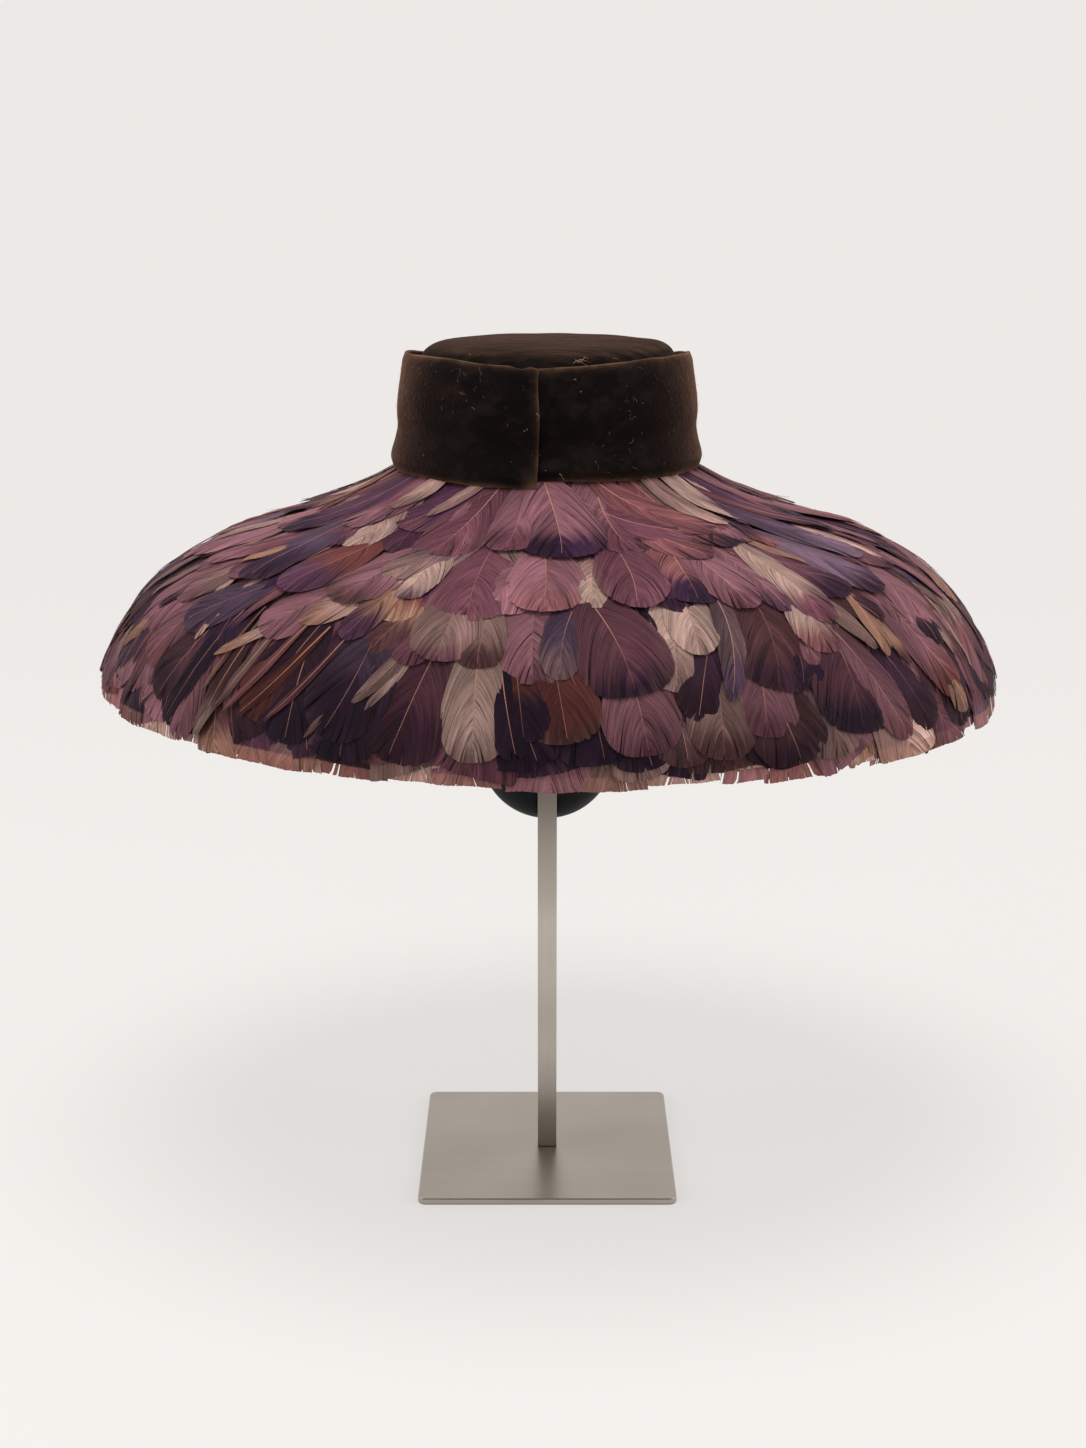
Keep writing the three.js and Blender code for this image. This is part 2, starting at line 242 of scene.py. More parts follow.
def make_mesh(name, points, faces, material, slot=None, nodes=(), attributes=None, uv=None):
    """A mesh object from points in millimetres and quads, riding on the one body."""
    faces = np.asarray(faces, np.int32)
    mesh = bpy.data.meshes.new(name)
    mesh.vertices.add(len(points))
    mesh.vertices.foreach_set("co", (np.asarray(points, float) * MM).ravel().astype(np.float32))
    sides = faces.shape[1]
    mesh.loops.add(faces.size)
    mesh.loops.foreach_set("vertex_index", faces.ravel())
    mesh.polygons.add(len(faces))
    mesh.polygons.foreach_set("loop_start", np.arange(0, faces.size, sides, dtype=np.int32))
    mesh.polygons.foreach_set("use_smooth", np.ones(len(faces), bool))
    mesh.update(calc_edges=True)
    for key, values in (attributes or {}).items():
        values = np.asarray(values, np.float32)
        if values.ndim == 1:
            mesh.attributes.new(key, "FLOAT", "POINT").data.foreach_set("value", values)
        else:
            mesh.attributes.new(key, "FLOAT_VECTOR", "POINT").data.foreach_set("vector", values.ravel())
    if uv is not None:
        layer = mesh.uv_layers.new(name="OFBake")
        layer.data.foreach_set("uv", np.asarray(uv, np.float32)[faces.ravel()].ravel())
    mesh.materials.append(material)
    mesh.validate()
    piece = bpy.data.objects.new(name, mesh)
    bpy.context.scene.collection.objects.link(piece)
    if slot:
        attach(piece, BODY)
        if nodes:
            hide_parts(*nodes)
    return piece


def grid_faces(rows, columns, closed_columns=False, closed_rows=False):
    """Quads of a grid whose points run row by row."""
    r = np.arange(rows if closed_rows else rows - 1)
    c = np.arange(columns if closed_columns else columns - 1)
    r, c = (x.ravel() for x in np.meshgrid(r, c, indexing="ij"))
    up, right = (r + 1) % rows, (c + 1) % columns
    return np.stack([r * columns + c, r * columns + right, up * columns + right, up * columns + c], 1)


def joined(parts):
    """Several (points, faces, ...) as one, the faces renumbered."""
    counts = np.cumsum([0] + [len(p[0]) for p in parts[:-1]])
    rest = [np.concatenate([p[k] for p in parts]) for k in range(2, len(parts[0]))]
    faces = np.concatenate([p[1] + n for p, n in zip(parts, counts)])
    return np.concatenate([p[0] for p in parts]), faces, *rest


def strand(points, radius, sides=4):
    """A thin tube along points, tapered to its end."""
    points = np.asarray(points, float)
    ahead = np.gradient(points, axis=0)
    ahead /= np.linalg.norm(ahead, axis=1)[:, None]
    side = np.cross(ahead, (0.3, 0.2, 0.93))
    side /= np.linalg.norm(side, axis=1)[:, None]
    up = np.cross(side, ahead)
    turn = np.linspace(0, 2 * math.pi, sides, endpoint=False)
    taper = radius * (1 - 0.6 * np.linspace(0, 1, len(points)) ** 2)
    ring = np.cos(turn)[None, :, None] * side[:, None] + np.sin(turn)[None, :, None] * up[:, None]
    tube = points[:, None] + taper[:, None, None] * ring
    return tube.reshape(-1, 3), grid_faces(len(points), sides, closed_columns=True)


# Materials

class Look:
    """A material and the few node calls that the looks below use."""

    def __init__(self, name, **sockets):
        self.material = bpy.data.materials.new(name)
        self.material.use_nodes = True
        self.tree = self.material.node_tree
        self.shader = self.tree.nodes["Principled BSDF"]
        for key, value in sockets.items():
            self.shader.inputs[key.replace("_", " ")].default_value = value

    def node(self, kind, inputs=None, **settings):
        made = self.tree.nodes.new(kind)
        for key, value in settings.items():
            setattr(made, key, value)
        for key, value in (inputs or {}).items():
            self.put(made.inputs[key], value)
        return made

    def put(self, socket, value):
        if isinstance(value, bpy.types.NodeSocket):
            self.tree.links.new(value, socket)
        else:
            socket.default_value = value

    def attribute(self, name):
        return self.node("ShaderNodeAttribute", attribute_name=name)

    def place(self):
        return self.node("ShaderNodeTexCoord").outputs["Object"]

    def scaled(self, vector, x, y, z):
        made = self.node("ShaderNodeMapping", {"Vector": vector})
        made.inputs["Scale"].default_value = (x, y, z)
        return made.outputs["Vector"]

    def noise(self, vector, scale, detail, roughness=0.55):
        inputs = {"Vector": vector, "Scale": scale, "Detail": detail, "Roughness": roughness}
        return self.node("ShaderNodeTexNoise", inputs).outputs["Fac"]

    def math(self, operation, a, b, clamp=False):
        made = self.node("ShaderNodeMath", {0: a, 1: b}, operation=operation)
        made.use_clamp = clamp
        return made.outputs[0]

    def spread(self, value, low, high, to_low=0.0, to_high=1.0):
        """value from low..high to to_low..to_high, held at its ends."""
        inputs = {"Value": value, "From Min": low, "From Max": high, "To Min": to_low, "To Max": to_high}
        return self.node("ShaderNodeMapRange", inputs).outputs["Result"]

    def mix(self, share, a, b):
        made = self.node("ShaderNodeMix", data_type="RGBA")
        self.put(made.inputs[0], share)
        self.put(made.inputs[6], a)
        self.put(made.inputs[7], b)
        return made.outputs[2]

    def times(self, vector, number):
        made = self.node("ShaderNodeVectorMath", {"Vector": vector, "Scale": number}, operation="SCALE")
        return made.outputs["Vector"]

    def bump(self, height, distance, strength):
        inputs = {"Height": height, "Distance": distance, "Strength": strength}
        self.put(self.shader.inputs["Normal"], self.node("ShaderNodeBump", inputs).outputs["Normal"])

    def colour(self, value):
        self.put(self.shader.inputs["Base Color"], value)

    def rough(self, value):
        self.put(self.shader.inputs["Roughness"], value)


def feather_look():
    """Dyed vanes: fine barbs beside a pale shaft, darkened by painted shade in slits between barbs, and paler
    where no foundation backs them, as painted backlight shining through.
    """
    look = Look(
        "feather_vanes", Sheen_Weight=0.03, Sheen_Roughness=0.5, Specular_IOR_Level=0.06,
        Sheen_Tint=solid((190, 140, 160)),
    )
    dye = look.attribute("dye").outputs["Vector"]
    barb = look.attribute("barb").outputs["Vector"]  # barb number, share of its length, feather
    on_shaft = look.attribute("shaft").outputs["Fac"]
    past = look.attribute("past").outputs["Fac"]  # distance past the foundation's edge
    fine = look.noise(look.scaled(barb, 1.0, 0.5, 7.3), 3.6, 2.0, 0.7)
    streaks = look.noise(look.scaled(barb, 0.3, 0.6, 3.1), 1.7, 4.0, 0.7)
    patches = look.noise(look.place(), 38.0, 5.0, 0.62)
    shade = look.math(
        "ADD", look.spread(fine, 0.3, 0.7, 0.52, 1.42), look.spread(streaks, 0.3, 0.7, -0.3, 0.3)
    )
    shade = look.math("MULTIPLY", shade, look.spread(patches, 0.3, 0.7, 0.84, 1.18))
    # Painted shade: thin dark slits along the barbs, where shade falls between them.
    painted_slit_shade = look.spread(look.noise(look.scaled(barb, 0.8, 0.3, 5.7), 1.3, 1.0), 0.29, 0.32, 0.2, 1.0)
    vane = look.times(look.times(dye, shade), painted_slit_shade)
    pale_barbs = look.spread(look.noise(look.scaled(barb, 1.0, 0.22, 9.1), 2.7, 1.0), 0.66, 0.72, 0.0, 0.3)
    vane = look.mix(pale_barbs, vane, look.times(vane, 2.6))
    # Painted backlight: past the foundation's edge the vanes are made paler and rosier, as light shining
    # through them.
    lit = look.spread(past, -0.4, 0.5)
    glow = look.spread(look.noise(look.scaled(barb, 0.0, 0.0, 2.9), 1.0, 0.0), 0.35, 0.65, 0.12, 0.56)
    glowing = look.times(look.times(solid((150, 104, 90))[:3], shade), painted_slit_shade)
    vane = look.mix(lit, vane, look.mix(glow, vane, glowing))
    shown = look.spread(look.noise(look.scaled(barb, 0.02, 0.0, 3.7), 2.0, 0.0), 0.4, 0.6, 0.15, 0.75)
    shaft = look.mix(shown, vane, solid((178, 126, 108)))
    look.colour(look.mix(look.spread(on_shaft, 0.2, 0.8), vane, shaft))
    look.rough(look.spread(streaks, 0.3, 0.7, 0.5, 0.7))
    look.bump(look.math("ADD", fine, look.math("MULTIPLY", streaks, 1.5)), 0.0003, 0.9)
    return look.material


def velvet_look(name, dark, warm, streak, swept, sheen):
    """Short silk pile: nearly black face on, brown at the sides, paler where its edges are worn."""
    look = Look(
        name, Sheen_Weight=sheen, Sheen_Roughness=0.36, Specular_IOR_Level=0.05, Roughness=0.95,
        Sheen_Tint=solid((142, 104, 88)),
    )
    place = look.place()
    nap = look.noise(place, 11.0, 3.0, 0.6)
    pile = look.noise(look.scaled(place, 1.0, 1.0, 0.55), 900.0, 2.0, 0.6)
    brushed = look.noise(look.scaled(place, *swept), 80.0, 5.0, 0.65)
    face = look.mix(look.spread(nap, 0.3, 0.7), solid(dark), solid(warm))
    face = look.mix(look.spread(brushed, 0.46, 0.72, 0.0, 0.55), face, solid(streak))
    wear = look.math("MULTIPLY", look.attribute("wear").outputs["Fac"], look.spread(brushed, 0.3, 0.62))
    face = look.mix(look.math("MULTIPLY", wear, 0.9, clamp=True), face, solid((104, 77, 58)))
    specks = look.spread(look.noise(place, 420.0, 1.0), 0.77, 0.8, 0.0, 0.45)
    look.colour(look.mix(specks, face, solid((134, 112, 92))))
    look.bump(look.math("ADD", pile, look.math("MULTIPLY", brushed, 2.2)), 0.0006, 0.7)
    return look.material


def cloth_look(name, dark, light, thread):
    """Plain stiffened cloth with a fine square weave."""
    look = Look(name, Roughness=0.85, Sheen_Weight=0.15, Specular_IOR_Level=0.2)
    place = look.place()
    weave = [
        look.node(
            "ShaderNodeTexWave", {"Vector": place, "Scale": thread, "Distortion": 1.2, "Detail": 1.0},
            bands_direction=way,
        ).outputs["Fac"]
        for way in ("X", "Y")
    ]
    cross = look.math("MAXIMUM", weave[0], weave[1])
    age = look.noise(place, 24.0, 5.0, 0.6)
    face = look.mix(look.spread(age, 0.3, 0.7), solid(dark), solid(light))
    look.colour(look.mix(look.spread(cross, 0.2, 0.9, 0.35, 0.0), face, solid(dark)))
    look.bump(cross, 0.00025, 0.6)
    return look.material


def pad_look():
    """Matt black cloth, drawn smooth over the padding."""
    look = Look("pad_covering", Specular_IOR_Level=0.08, Sheen_Weight=0.02)
    place = look.place()
    grain = look.noise(place, 700.0, 2.0)
    soft = look.noise(place, 22.0, 3.0)
    look.colour(look.mix(look.spread(soft, 0.35, 0.7), solid((7, 7, 9)), solid((17, 17, 20))))
    look.rough(look.spread(soft, 0.3, 0.7, 0.55, 0.7))
    look.bump(grain, 0.00012, 0.5)
    return look.material


def steel_look(name, along, painted_shade_heights):
    """Satin steel, brushed along one axis, with smudges; painted_shade_heights lists (height, share) of the
    painted shade mixed into its colour.
    """
    look = Look(name, Metallic=1.0, Anisotropic=0.35)
    place = look.place()
    stretch = [260.0, 260.0, 260.0]
    stretch[along] = 7.0
    brush = look.noise(look.scaled(place, *stretch), 1.0, 3.0, 0.6)
    smudge = look.noise(place, 16.0, 1.0, 0.4)
    face = look.mix(look.spread(smudge, 0.3, 0.7), solid((176, 169, 160)), solid((192, 185, 176)))
    face = look.mix(look.spread(brush, 0.25, 0.75, 0.0, 0.14), face, solid((150, 143, 135)))
    # Painted shade: the steel's colour is darkened by height, standing in for shade, shadow and dark
    # reflections.
    height = look.node("ShaderNodeSeparateXYZ", {"Vector": place}).outputs["Z"]
    painted_shade = 0.0
    for (low, before), (high, after) in zip(painted_shade_heights[:-1], painted_shade_heights[1:]):
        painted_shade = look.math("ADD", painted_shade, look.spread(height, low, high, 0.0, after - before))
    painted_shade = look.math("ADD", painted_shade, painted_shade_heights[0][1])
    painted_shade = look.math("MULTIPLY", painted_shade, look.spread(smudge, 0.3, 0.7, 0.8, 1.2), clamp=True)
    look.colour(look.mix(painted_shade, face, solid((98, 91, 84))))
    rough = look.math(
        "ADD", look.spread(smudge, 0.1, 0.9, 0.24, 0.3), look.spread(brush, 0.1, 0.9, 0.0, 0.04)
    )
    look.rough(rough)
    look.bump(brush, 0.00001, 0.15)
    return look.material


def thread_look():
    """Brown to pale brown thread."""
    look = Look("loose_threads", Roughness=0.7, Specular_IOR_Level=0.2)
    tint = look.noise(look.place(), 160.0, 1.0)
    look.colour(look.mix(look.spread(tint, 0.35, 0.65), solid((84, 64, 52)), solid((152, 124, 100))))
    return look.material


def wisp_look():
    """Single barbs, each in its own dye."""
    look = Look("loose_barbs", Roughness=0.65, Specular_IOR_Level=0.15)
    tint = look.noise(look.place(), 300.0, 1.0)
    look.colour(look.times(look.attribute("dye").outputs["Vector"], look.spread(tint, 0.3, 0.7, 0.7, 1.3)))
    return look.material


def stage_look():
    """Pale paper that glows a little, more so away from the stand, where less light falls on it."""
    look = Look("stage_paper", Roughness=0.9, Specular_IOR_Level=0.1, Emission_Color=(1.0, 0.975, 0.95, 1))
    place = look.place()
    away = look.node("ShaderNodeVectorMath", {0: place}, operation="LENGTH").outputs["Value"]
    tint = look.noise(place, 1.1, 2.0)
    near = look.mix(tint, solid((132, 130, 129)), solid((136, 134, 133)))
    look.colour(look.mix(look.spread(away, 0.6, 2.4), near, solid((126, 124, 123))))
    look.put(look.shader.inputs["Emission Strength"], look.spread(away, 0.6, 2.4, 0.565, 0.64))
    return look.material


# The brim's surface

along_stations = run_along(BRIM_OUTLINE)
brim_radius = spline(along_stations, BRIM_OUTLINE[:, 0])
brim_height = spline(along_stations, BRIM_OUTLINE[:, 1])


def brim_at(along, angle):
    """Points on the feathers' outer surface, angles in degrees."""
    r, z = brim_radius(along), brim_height(along)
    span = BRIM_OUTLINE[-1, 0] - BRIM_OUTLINE[0, 0]
    share = 1 - (1 - BRIM_DEPTH_SHARE) * np.maximum(0, (r - BRIM_OUTLINE[0, 0]) / span)
    turn = np.radians(angle)
    return np.stack([r * np.cos(turn), r * share * np.sin(turn), z + 0 * turn], -1)


def brim_point(along, angle, height):
    """Points a height above the foundation's upper face."""
    along, angle, height = np.broadcast_arrays(*(np.asarray(v, float) for v in (along, angle, height)))
    here = brim_at(along, angle)
    down = brim_at(along + 1, angle) - brim_at(along - 1, angle)
    round_it = brim_at(along, angle + 0.5) - brim_at(along, angle - 0.5)
    normal = np.cross(down, round_it)
    normal /= np.linalg.norm(normal, axis=-1)[..., None]
    return here + normal * (height - FOUNDATION_DEPTH)[..., None]


def reach(along, angle):
    """Millimetres round the brim to one degree."""
    return np.linalg.norm(brim_at(along, angle + 0.5) - brim_at(along, angle - 0.5), axis=-1)


def rim_trim(angle):
    """How much less of the brim there is at an angle: its left is cut shorter."""
    turn = np.abs((np.asarray(angle) - RIM_TRIM_ANGLE + 540) % 360 - 180)
    return RIM_TRIM * smooth(1 - turn / RIM_TRIM_WIDTH)


def on_photo(points):
    """Pixels of the photograph at which points appear."""
    d = points - EYE
    depth = d[..., 1] * math.cos(PITCH) - d[..., 2] * math.sin(PITCH)
    up = d[..., 1] * math.sin(PITCH) + d[..., 2] * math.cos(PITCH)
    x = PHOTO_WIDTH / 2 + FOCAL_PIXELS * d[..., 0] / depth
    return np.stack([x, PHOTO_HEIGHT / 2 - FOCAL_PIXELS * up / depth], -1)


def nearest(pixels, x, y):
    """Which of a grid of places appears nearest to a pixel of the photograph."""
    off = np.hypot(pixels[..., 0] - x, pixels[..., 1] - y)
    return np.unravel_index(np.argmin(off), off.shape)


front_along, front_angle = np.meshgrid(np.arange(0, 233, 0.75), np.arange(165, 375, 0.4), indexing="ij")
front_pixels = on_photo(brim_at(front_along, front_angle))


def from_photo(x, y):
    """The distance along the brim and the angle that appear at a pixel of the photograph."""
    at = nearest(front_pixels, x, y)
    return front_along[at], front_angle[at]


# Feathers

BARBS = 30  # rows of barbs on each side of a shaft
STEPS = 6  # points along a barb
SHAFT = 0.42  # half width of a shaft at its root
SHAFT_RISE = 0.45
SEAT = 1.5  # the distance along the brim at which the feathers' roots go under the band
ROOT_HEIGHT = 0.6  # how high a root lies over the foundation
LEAST_HEIGHT = 0.12
TIP_DROP = 0.7  # how far the last part of a feather turns down again
TIP_DROP_FROM = 0.85
PULL_OUT = 0.66  # where a barb's curve is pulled to, as shares of the way out and up to its end
PULL_UP = 0.3
CREASE_PAINTED_SHADE = 0.34
OFF_THE_RIM = -9.0  # for feathers away from the rim: how far past the foundation they count as


@dataclass
class Feather:
    """One feather: its place on the brim, its size, its shape and its dyes."""

    tip: float  # along the brim
    angle: float
    length: float
    width: float
    lean: float  # degrees from straight down the brim
    bend: float  # degrees from root to tip
    base: str
    tint: float  # how pale its edges are: pale margins and a painted highlight
    tone: float
    layer: float  # how much higher than a root on the foundation it lies
    blunt: float  # 2 for a round tip, more for a squarer one
    widest: float  # share of its length
    locks: int
    gap: float  # how far the locks open
    end: str = ""  # the tip's dye, where it differs from the base
    end_from: float = 0.5
    root_width: float = 0.45
    ragged: float = 0.012
    roll: float = 0.0
    rise: float = 3.1
    camber: float = 1.2
    lead: float = 0.56  # share of the outline at which the first barb ends
    nicks: int = 2
    trimmed: bool = False  # cut along the rim

    def outline(self):
        """Half the outline, root to tip, as points (side, along) in millimetres."""
        rise = np.linspace(0, 1, 40)
        side = [self.root_width + (1 - self.root_width) * np.sin(rise * math.pi / 2), self.widest * rise]
        turn = np.linspace(0, math.pi / 2, 60)[1:]
        power = 2 / self.blunt
        end = [np.cos(turn) ** power, self.widest + (1 - self.widest) * np.sin(turn) ** power]
        return np.concatenate([side, end], 1).T * (self.width / 2, self.length)

    def lock_edges(self, rng):
        """Barb numbers at which a vane splits into locks: a few long splits, and nicks at its tip."""
        splits = rng.uniform(0.2, 0.95, self.locks - 1)
        nicks = rng.uniform(0.84, 0.99, rng.integers(0, self.nicks + 1))
        return np.unique(np.round(np.concatenate([[0], splits, nicks, [1]]) * BARBS).astype(int))

    def cut_square(self):
        """Gives it the square end of a feather that is cut off."""
        self.blunt, self.widest = CUT_BLUNT, CUT_WIDEST


def shaft_share(barb):
    """The share of a feather's length at which a barb, 0 to 1, leaves the shaft."""
    return 0.02 + 0.93 * barb ** 1.25


def shaft_half(barb):
    """Half the shaft's width where a barb, 0 to 1, leaves it."""
    return SHAFT * (1 - 0.75 * barb)


VANE_KEYS = ["side", "along", "lift", "shade", "barb", "out", "shaft"]


def vane(feather, hand, rng):
    """One side's locks of barbs, flat: side and along in millimetres, and what the material reads."""
    f = feather
    edge = f.outline()
    run = run_along(edge)
    run /= run[-1]
    cuts = f.lock_edges(rng)
    bulge = 1 + 0.05 * rng.normal()
    folds, phase = rng.uniform(5, 14), rng.uniform(0, 2 * math.pi)
    out = np.linspace(0, 1, STEPS + 1)[None, :]
    parts = []
    for first, last in zip(cuts[:-1], cuts[1:]):
        number = np.linspace(first, last, last - first + 1)[:, None] / BARBS
        middle = (first + last) / 2 / BARBS
        opened = f.gap * rng.uniform(0.2, 1.5) * out ** 2.4
        barb = middle + (number - middle) * (1 - np.minimum(opened, 0.7))
        barb = np.clip(barb + rng.normal(0, 0.4 * f.gap / BARBS) * out ** 2, 0, 1)
        lead = f.lead + (1 - f.lead) * barb
        end_x, end_y = np.interp(lead, run, edge[:, 0]), np.interp(lead, run, edge[:, 1])
        start_y = f.length * shaft_share(barb)
        frayed = f.ragged * np.abs(rng.normal(0, 1, number.shape)) * eased(number, 0.2, 0.5)
        shorter = rng.uniform(0, 1.5) * f.ragged
        reach_out = out * (1 - frayed - shorter)
        pull_x, pull_y = PULL_OUT * bulge * end_x, start_y + PULL_UP * (end_y - start_y)
        w0, w1, w2 = (1 - reach_out) ** 2, 2 * reach_out * (1 - reach_out), reach_out ** 2
        lift = rng.normal(0, 0.2) * out ** 1.5 + 0.32 * np.sin(barb * folds + phase) * out
        # Painted shade in the creases between locks: the barbs at each lock's edges are darkened.
        crease = np.exp(-np.minimum(number * BARBS - first, last - number * BARBS) / 0.6) * out
        shade = rng.normal(1, 0.1) * (1 + rng.normal(0, 0.07, number.shape) - CREASE_PAINTED_SHADE * crease)
        values = {
            "side": hand * (w0 * shaft_half(barb) + w1 * pull_x + w2 * end_x),
            "along": w0 * start_y + w1 * pull_y + w2 * end_y,
            "lift": lift, "shade": shade, "barb": barb * BARBS, "out": out, "shaft": 0,
        }
        cells = np.stack([(values[key] + 0 * barb).ravel() for key in VANE_KEYS], 1)
        faces = grid_faces(len(number), STEPS + 1)
        parts.append((cells, faces if hand > 0 else faces[:, ::-1]))
    return joined(parts)


def shaft_strip(feather):
    """The raised shaft between the two vanes."""
    barb = np.linspace(0, 1, BARBS + 1)
    along = feather.length * shaft_share(barb)
    columns = []
    for side in (-1, 0, 1):
        lift = SHAFT_RISE * (1 - 0.7 * barb) * (side == 0)
        cell = [side * shaft_half(barb), along, lift, 1 + 0 * barb, barb * BARBS, 0 * barb, 1 + 0 * barb]
        columns.append(np.stack(cell, 1))
    return np.stack(columns, 1).reshape(-1, len(VANE_KEYS)), grid_faces(BARBS + 1, 3)[:, ::-1]


def laid_down(feather, side, up):
    """Where the points of a flat feather lie on the brim, as distances along it and angles."""
    f = feather
    centre = np.linspace(0, f.length, 24)
    heading = math.radians(f.lean) + math.radians(f.bend) * (centre / f.length - 0.5)
    step = centre[1]
    down = np.cumsum(np.cos(heading)) * step
    down += f.tip - down[-1]
    degree = reach(np.maximum(down, -10), f.angle)
    turned = np.cumsum(np.sin(heading) / degree) * step
    turned += f.angle - turned[-1]
    head = np.interp(up, centre, heading)
    along = np.interp(up, centre, down) - side * np.sin(head)
    angle = np.interp(up, centre, turned) + side * np.cos(head) / np.interp(up, centre, degree)
    return along, angle


def standing(feather, u, t, lift):
    """How high a feather stands over the foundation: it rises to its tip and droops to its sides."""
    f = feather
    dropped = TIP_DROP * eased(t, TIP_DROP_FROM, 1 - TIP_DROP_FROM)
    height = ROOT_HEIGHT + f.layer + f.rise * t ** 1.1 + lift * t - dropped
    height -= f.camber * np.abs(u) ** 2.2 * (0.25 + 0.75 * t)
    height += f.roll * u * (0.4 + 0.6 * t)
    return np.maximum(height, LEAST_HEIGHT)


def dyed(feather, number, side, t, barb, out, shade):
    """A feather's dye: from its base to its end, paler at its edges (pale margins and a painted highlight),
    darker on one half, and darker towards its root (dye and painted shade under the row above).
    """
    f = feather
    jitter = 0.04 * np.sin(barb * 2.1 + number) + 0.03 * np.sin(barb * 5.3 + 2 * number)
    blend = eased(t + jitter, f.end_from, 0.24)[:, None]
    dye = srgb(DYES[f.base]) * (1 - blend) + srgb(DYES[f.end or f.base]) * blend
    # Pale edges: partly pale margins, partly a painted highlight on one side of each feather.
    lit_hand = math.copysign(1.0, math.sin(number * 2.3))
    edge = eased(out, 0.72, 0.28) * (0.35 + 0.65 * (side * lit_hand > 0)) * (1 - 0.8 * blend[:, 0])
    edge = (f.tint * edge * (0.6 + 0.4 * np.sin(barb * 1.3 + number)))[:, None]
    dye = dye * (1 - edge) + srgb(EDGE_PALE_AND_HIGHLIGHT) * edge
    halves = 1 + 0.13 * math.sin(number * 1.7) * np.sign(side)
    # Darker towards the root: partly dye, partly painted shade where the row above covers it.
    return dye * (f.tone * shade * halves * (0.8 + 0.28 * smooth(t / 0.6)))[:, None]


def feather_mesh(feather, number, rng):
    """A feather laid on the brim: points, faces, the material's values, and its place in its map."""
    f = feather
    cells, faces = joined([vane(f, 1, rng), vane(f, -1, rng), shaft_strip(f)])
    side, up, lift, shade, barb, out, shaft = cells.T
    along, angle = laid_down(f, side, up)
    if f.trimmed:
        nibbled = 0.3 * np.sin(barb * 0.23 + number) + 0.1 * np.sin(barb * 1.9 + 3 * number)
        cut = f.tip - OVERHANG + rim_trim(f.angle) - rim_trim(angle) + nibbled
    else:
        cut = along + 1
    faces = faces[(along[faces] > SEAT).any(1) & (along[faces] < cut[faces]).any(1)]
    along = np.clip(along, SEAT, cut)
    t = up / f.length
    u = side / (f.width / 2)
    points = brim_point(along, angle, standing(f, u, t, lift))
    past = along - (FOUNDATION_EDGE - rim_trim(angle)) if f.trimmed else OFF_THE_RIM + 0 * along
    dye = dyed(f, number, side, t, barb, out, shade)
    barb = np.stack([barb * 1.3 + np.where(side > 0, 0, 60), out, 0 * out + number], 1)
    return points, faces, dye, barb, shaft, past, np.stack([u * 0.5 + 0.5, t], 1)


def feather_piece(name, feathers, material, nodes, seed):
    """A row's feathers as one mesh, each with a cell of its own in its map."""
    rng = np.random.default_rng(seed)
    columns = math.ceil(math.sqrt(len(feathers) * 1.7))
    rows = math.ceil(len(feathers) / columns)
    parts = []
    for i, feather in enumerate(feathers):
        *mesh, flat = feather_mesh(feather, i + 1, rng)
        cell = np.array([i % columns, i // columns])
        parts.append((*mesh, (cell + 0.04 + 0.92 * np.clip(flat, -0.02, 1.02)) / (columns, rows)))
    points, faces, dye, barb, shaft, past, uv = joined(parts)
    values = {"dye": dye, "barb": barb, "shaft": shaft, "past": past}
    return make_mesh(name, points, faces, material, "feather", nodes, values, uv)


# Rows of feathers all round: where the roots and tips lie along the brim, how many, how wide, and how
# bright their deep and their pale dyes are made; the lower rows are darker partly by dye and partly by
# painted shade.
ROWS = [
    {"root": -22, "tip": 76, "count": 24, "width": 42, "tone": 0.55, "pale": 0.51},
    {"root": 38, "tip": 130, "count": 28, "width": 44, "tone": 0.58, "pale": 0.54},
    {"root": 88, "tip": 178, "count": 31, "width": 46, "tone": 0.39, "pale": 0.43},
    {"root": 128, "tip": 210, "count": 34, "width": 46, "tone": 0.25, "pale": 0.33},
    {"root": 152, "tip": FOUNDATION_EDGE, "count": 38, "width": 46, "tone": 0.26, "pale": 0.46},
]
RIM_TONE = 0.56
RIM_RISE = 1.6
OVERHANG = 6.0  # how far a feather at the rim runs on before it is cut
CUT_BLUNT = 12
CUT_WIDEST = 0.88
TRIMMED = {"count": 48, "width": 42, "length": 62}  # the feathers cut straight along the rim
RIBBONS = {"count": 60, "width": 8, "share": 0.85, "clear": 36}  # slim curved feathers laid over each row
MAIN_DYES = [
    "plum", "mauve", "violet", "plum", "cocoa", "rose", "mauve", "aubergine", "taupe", "plum", "mauve", "ink",
]
UNDER_DYES = ["taupe", "beige", "ink", "tan", "aubergine", "taupe", "cocoa", "mauve", "rose", "lavender"]
RIBBON_DYES = [
    "mauve", "blush", "ink", "rose", "taupe", "slate", "aubergine", "tan", "mauve", "plum", "cocoa",
]
RIM_DYES = ["mauve", "rose", "plum", "beige", "cocoa", "rose", "mauve", "taupe", "taupe", "beige"]
WISP_COUNT = 170
WISP_DYES = ["taupe", "plum", "mauve", "blush", "ink", "cocoa"]
END_DYES = {
    "plum": ["plum", "aubergine", "violet"], "mauve": ["mauve", "plum", "ink"],
    "violet": ["ink", "violet", "aubergine"], "cocoa": ["aubergine", "rust", "cocoa"],
    "rose": ["plum", "rose", "violet"], "aubergine": ["ink", "aubergine"],
    "taupe": ["taupe", "cocoa", "plum"], "beige": ["beige", "rose", "mauve"],
    "ink": ["ink"], "tan": ["tan", "rust", "cocoa"], "slate": ["slate", "ink"], "rust": ["rust", "aubergine"],
    "lavender": ["lavender", "slate", "ink"], "blush": ["blush", "mauve"],
}

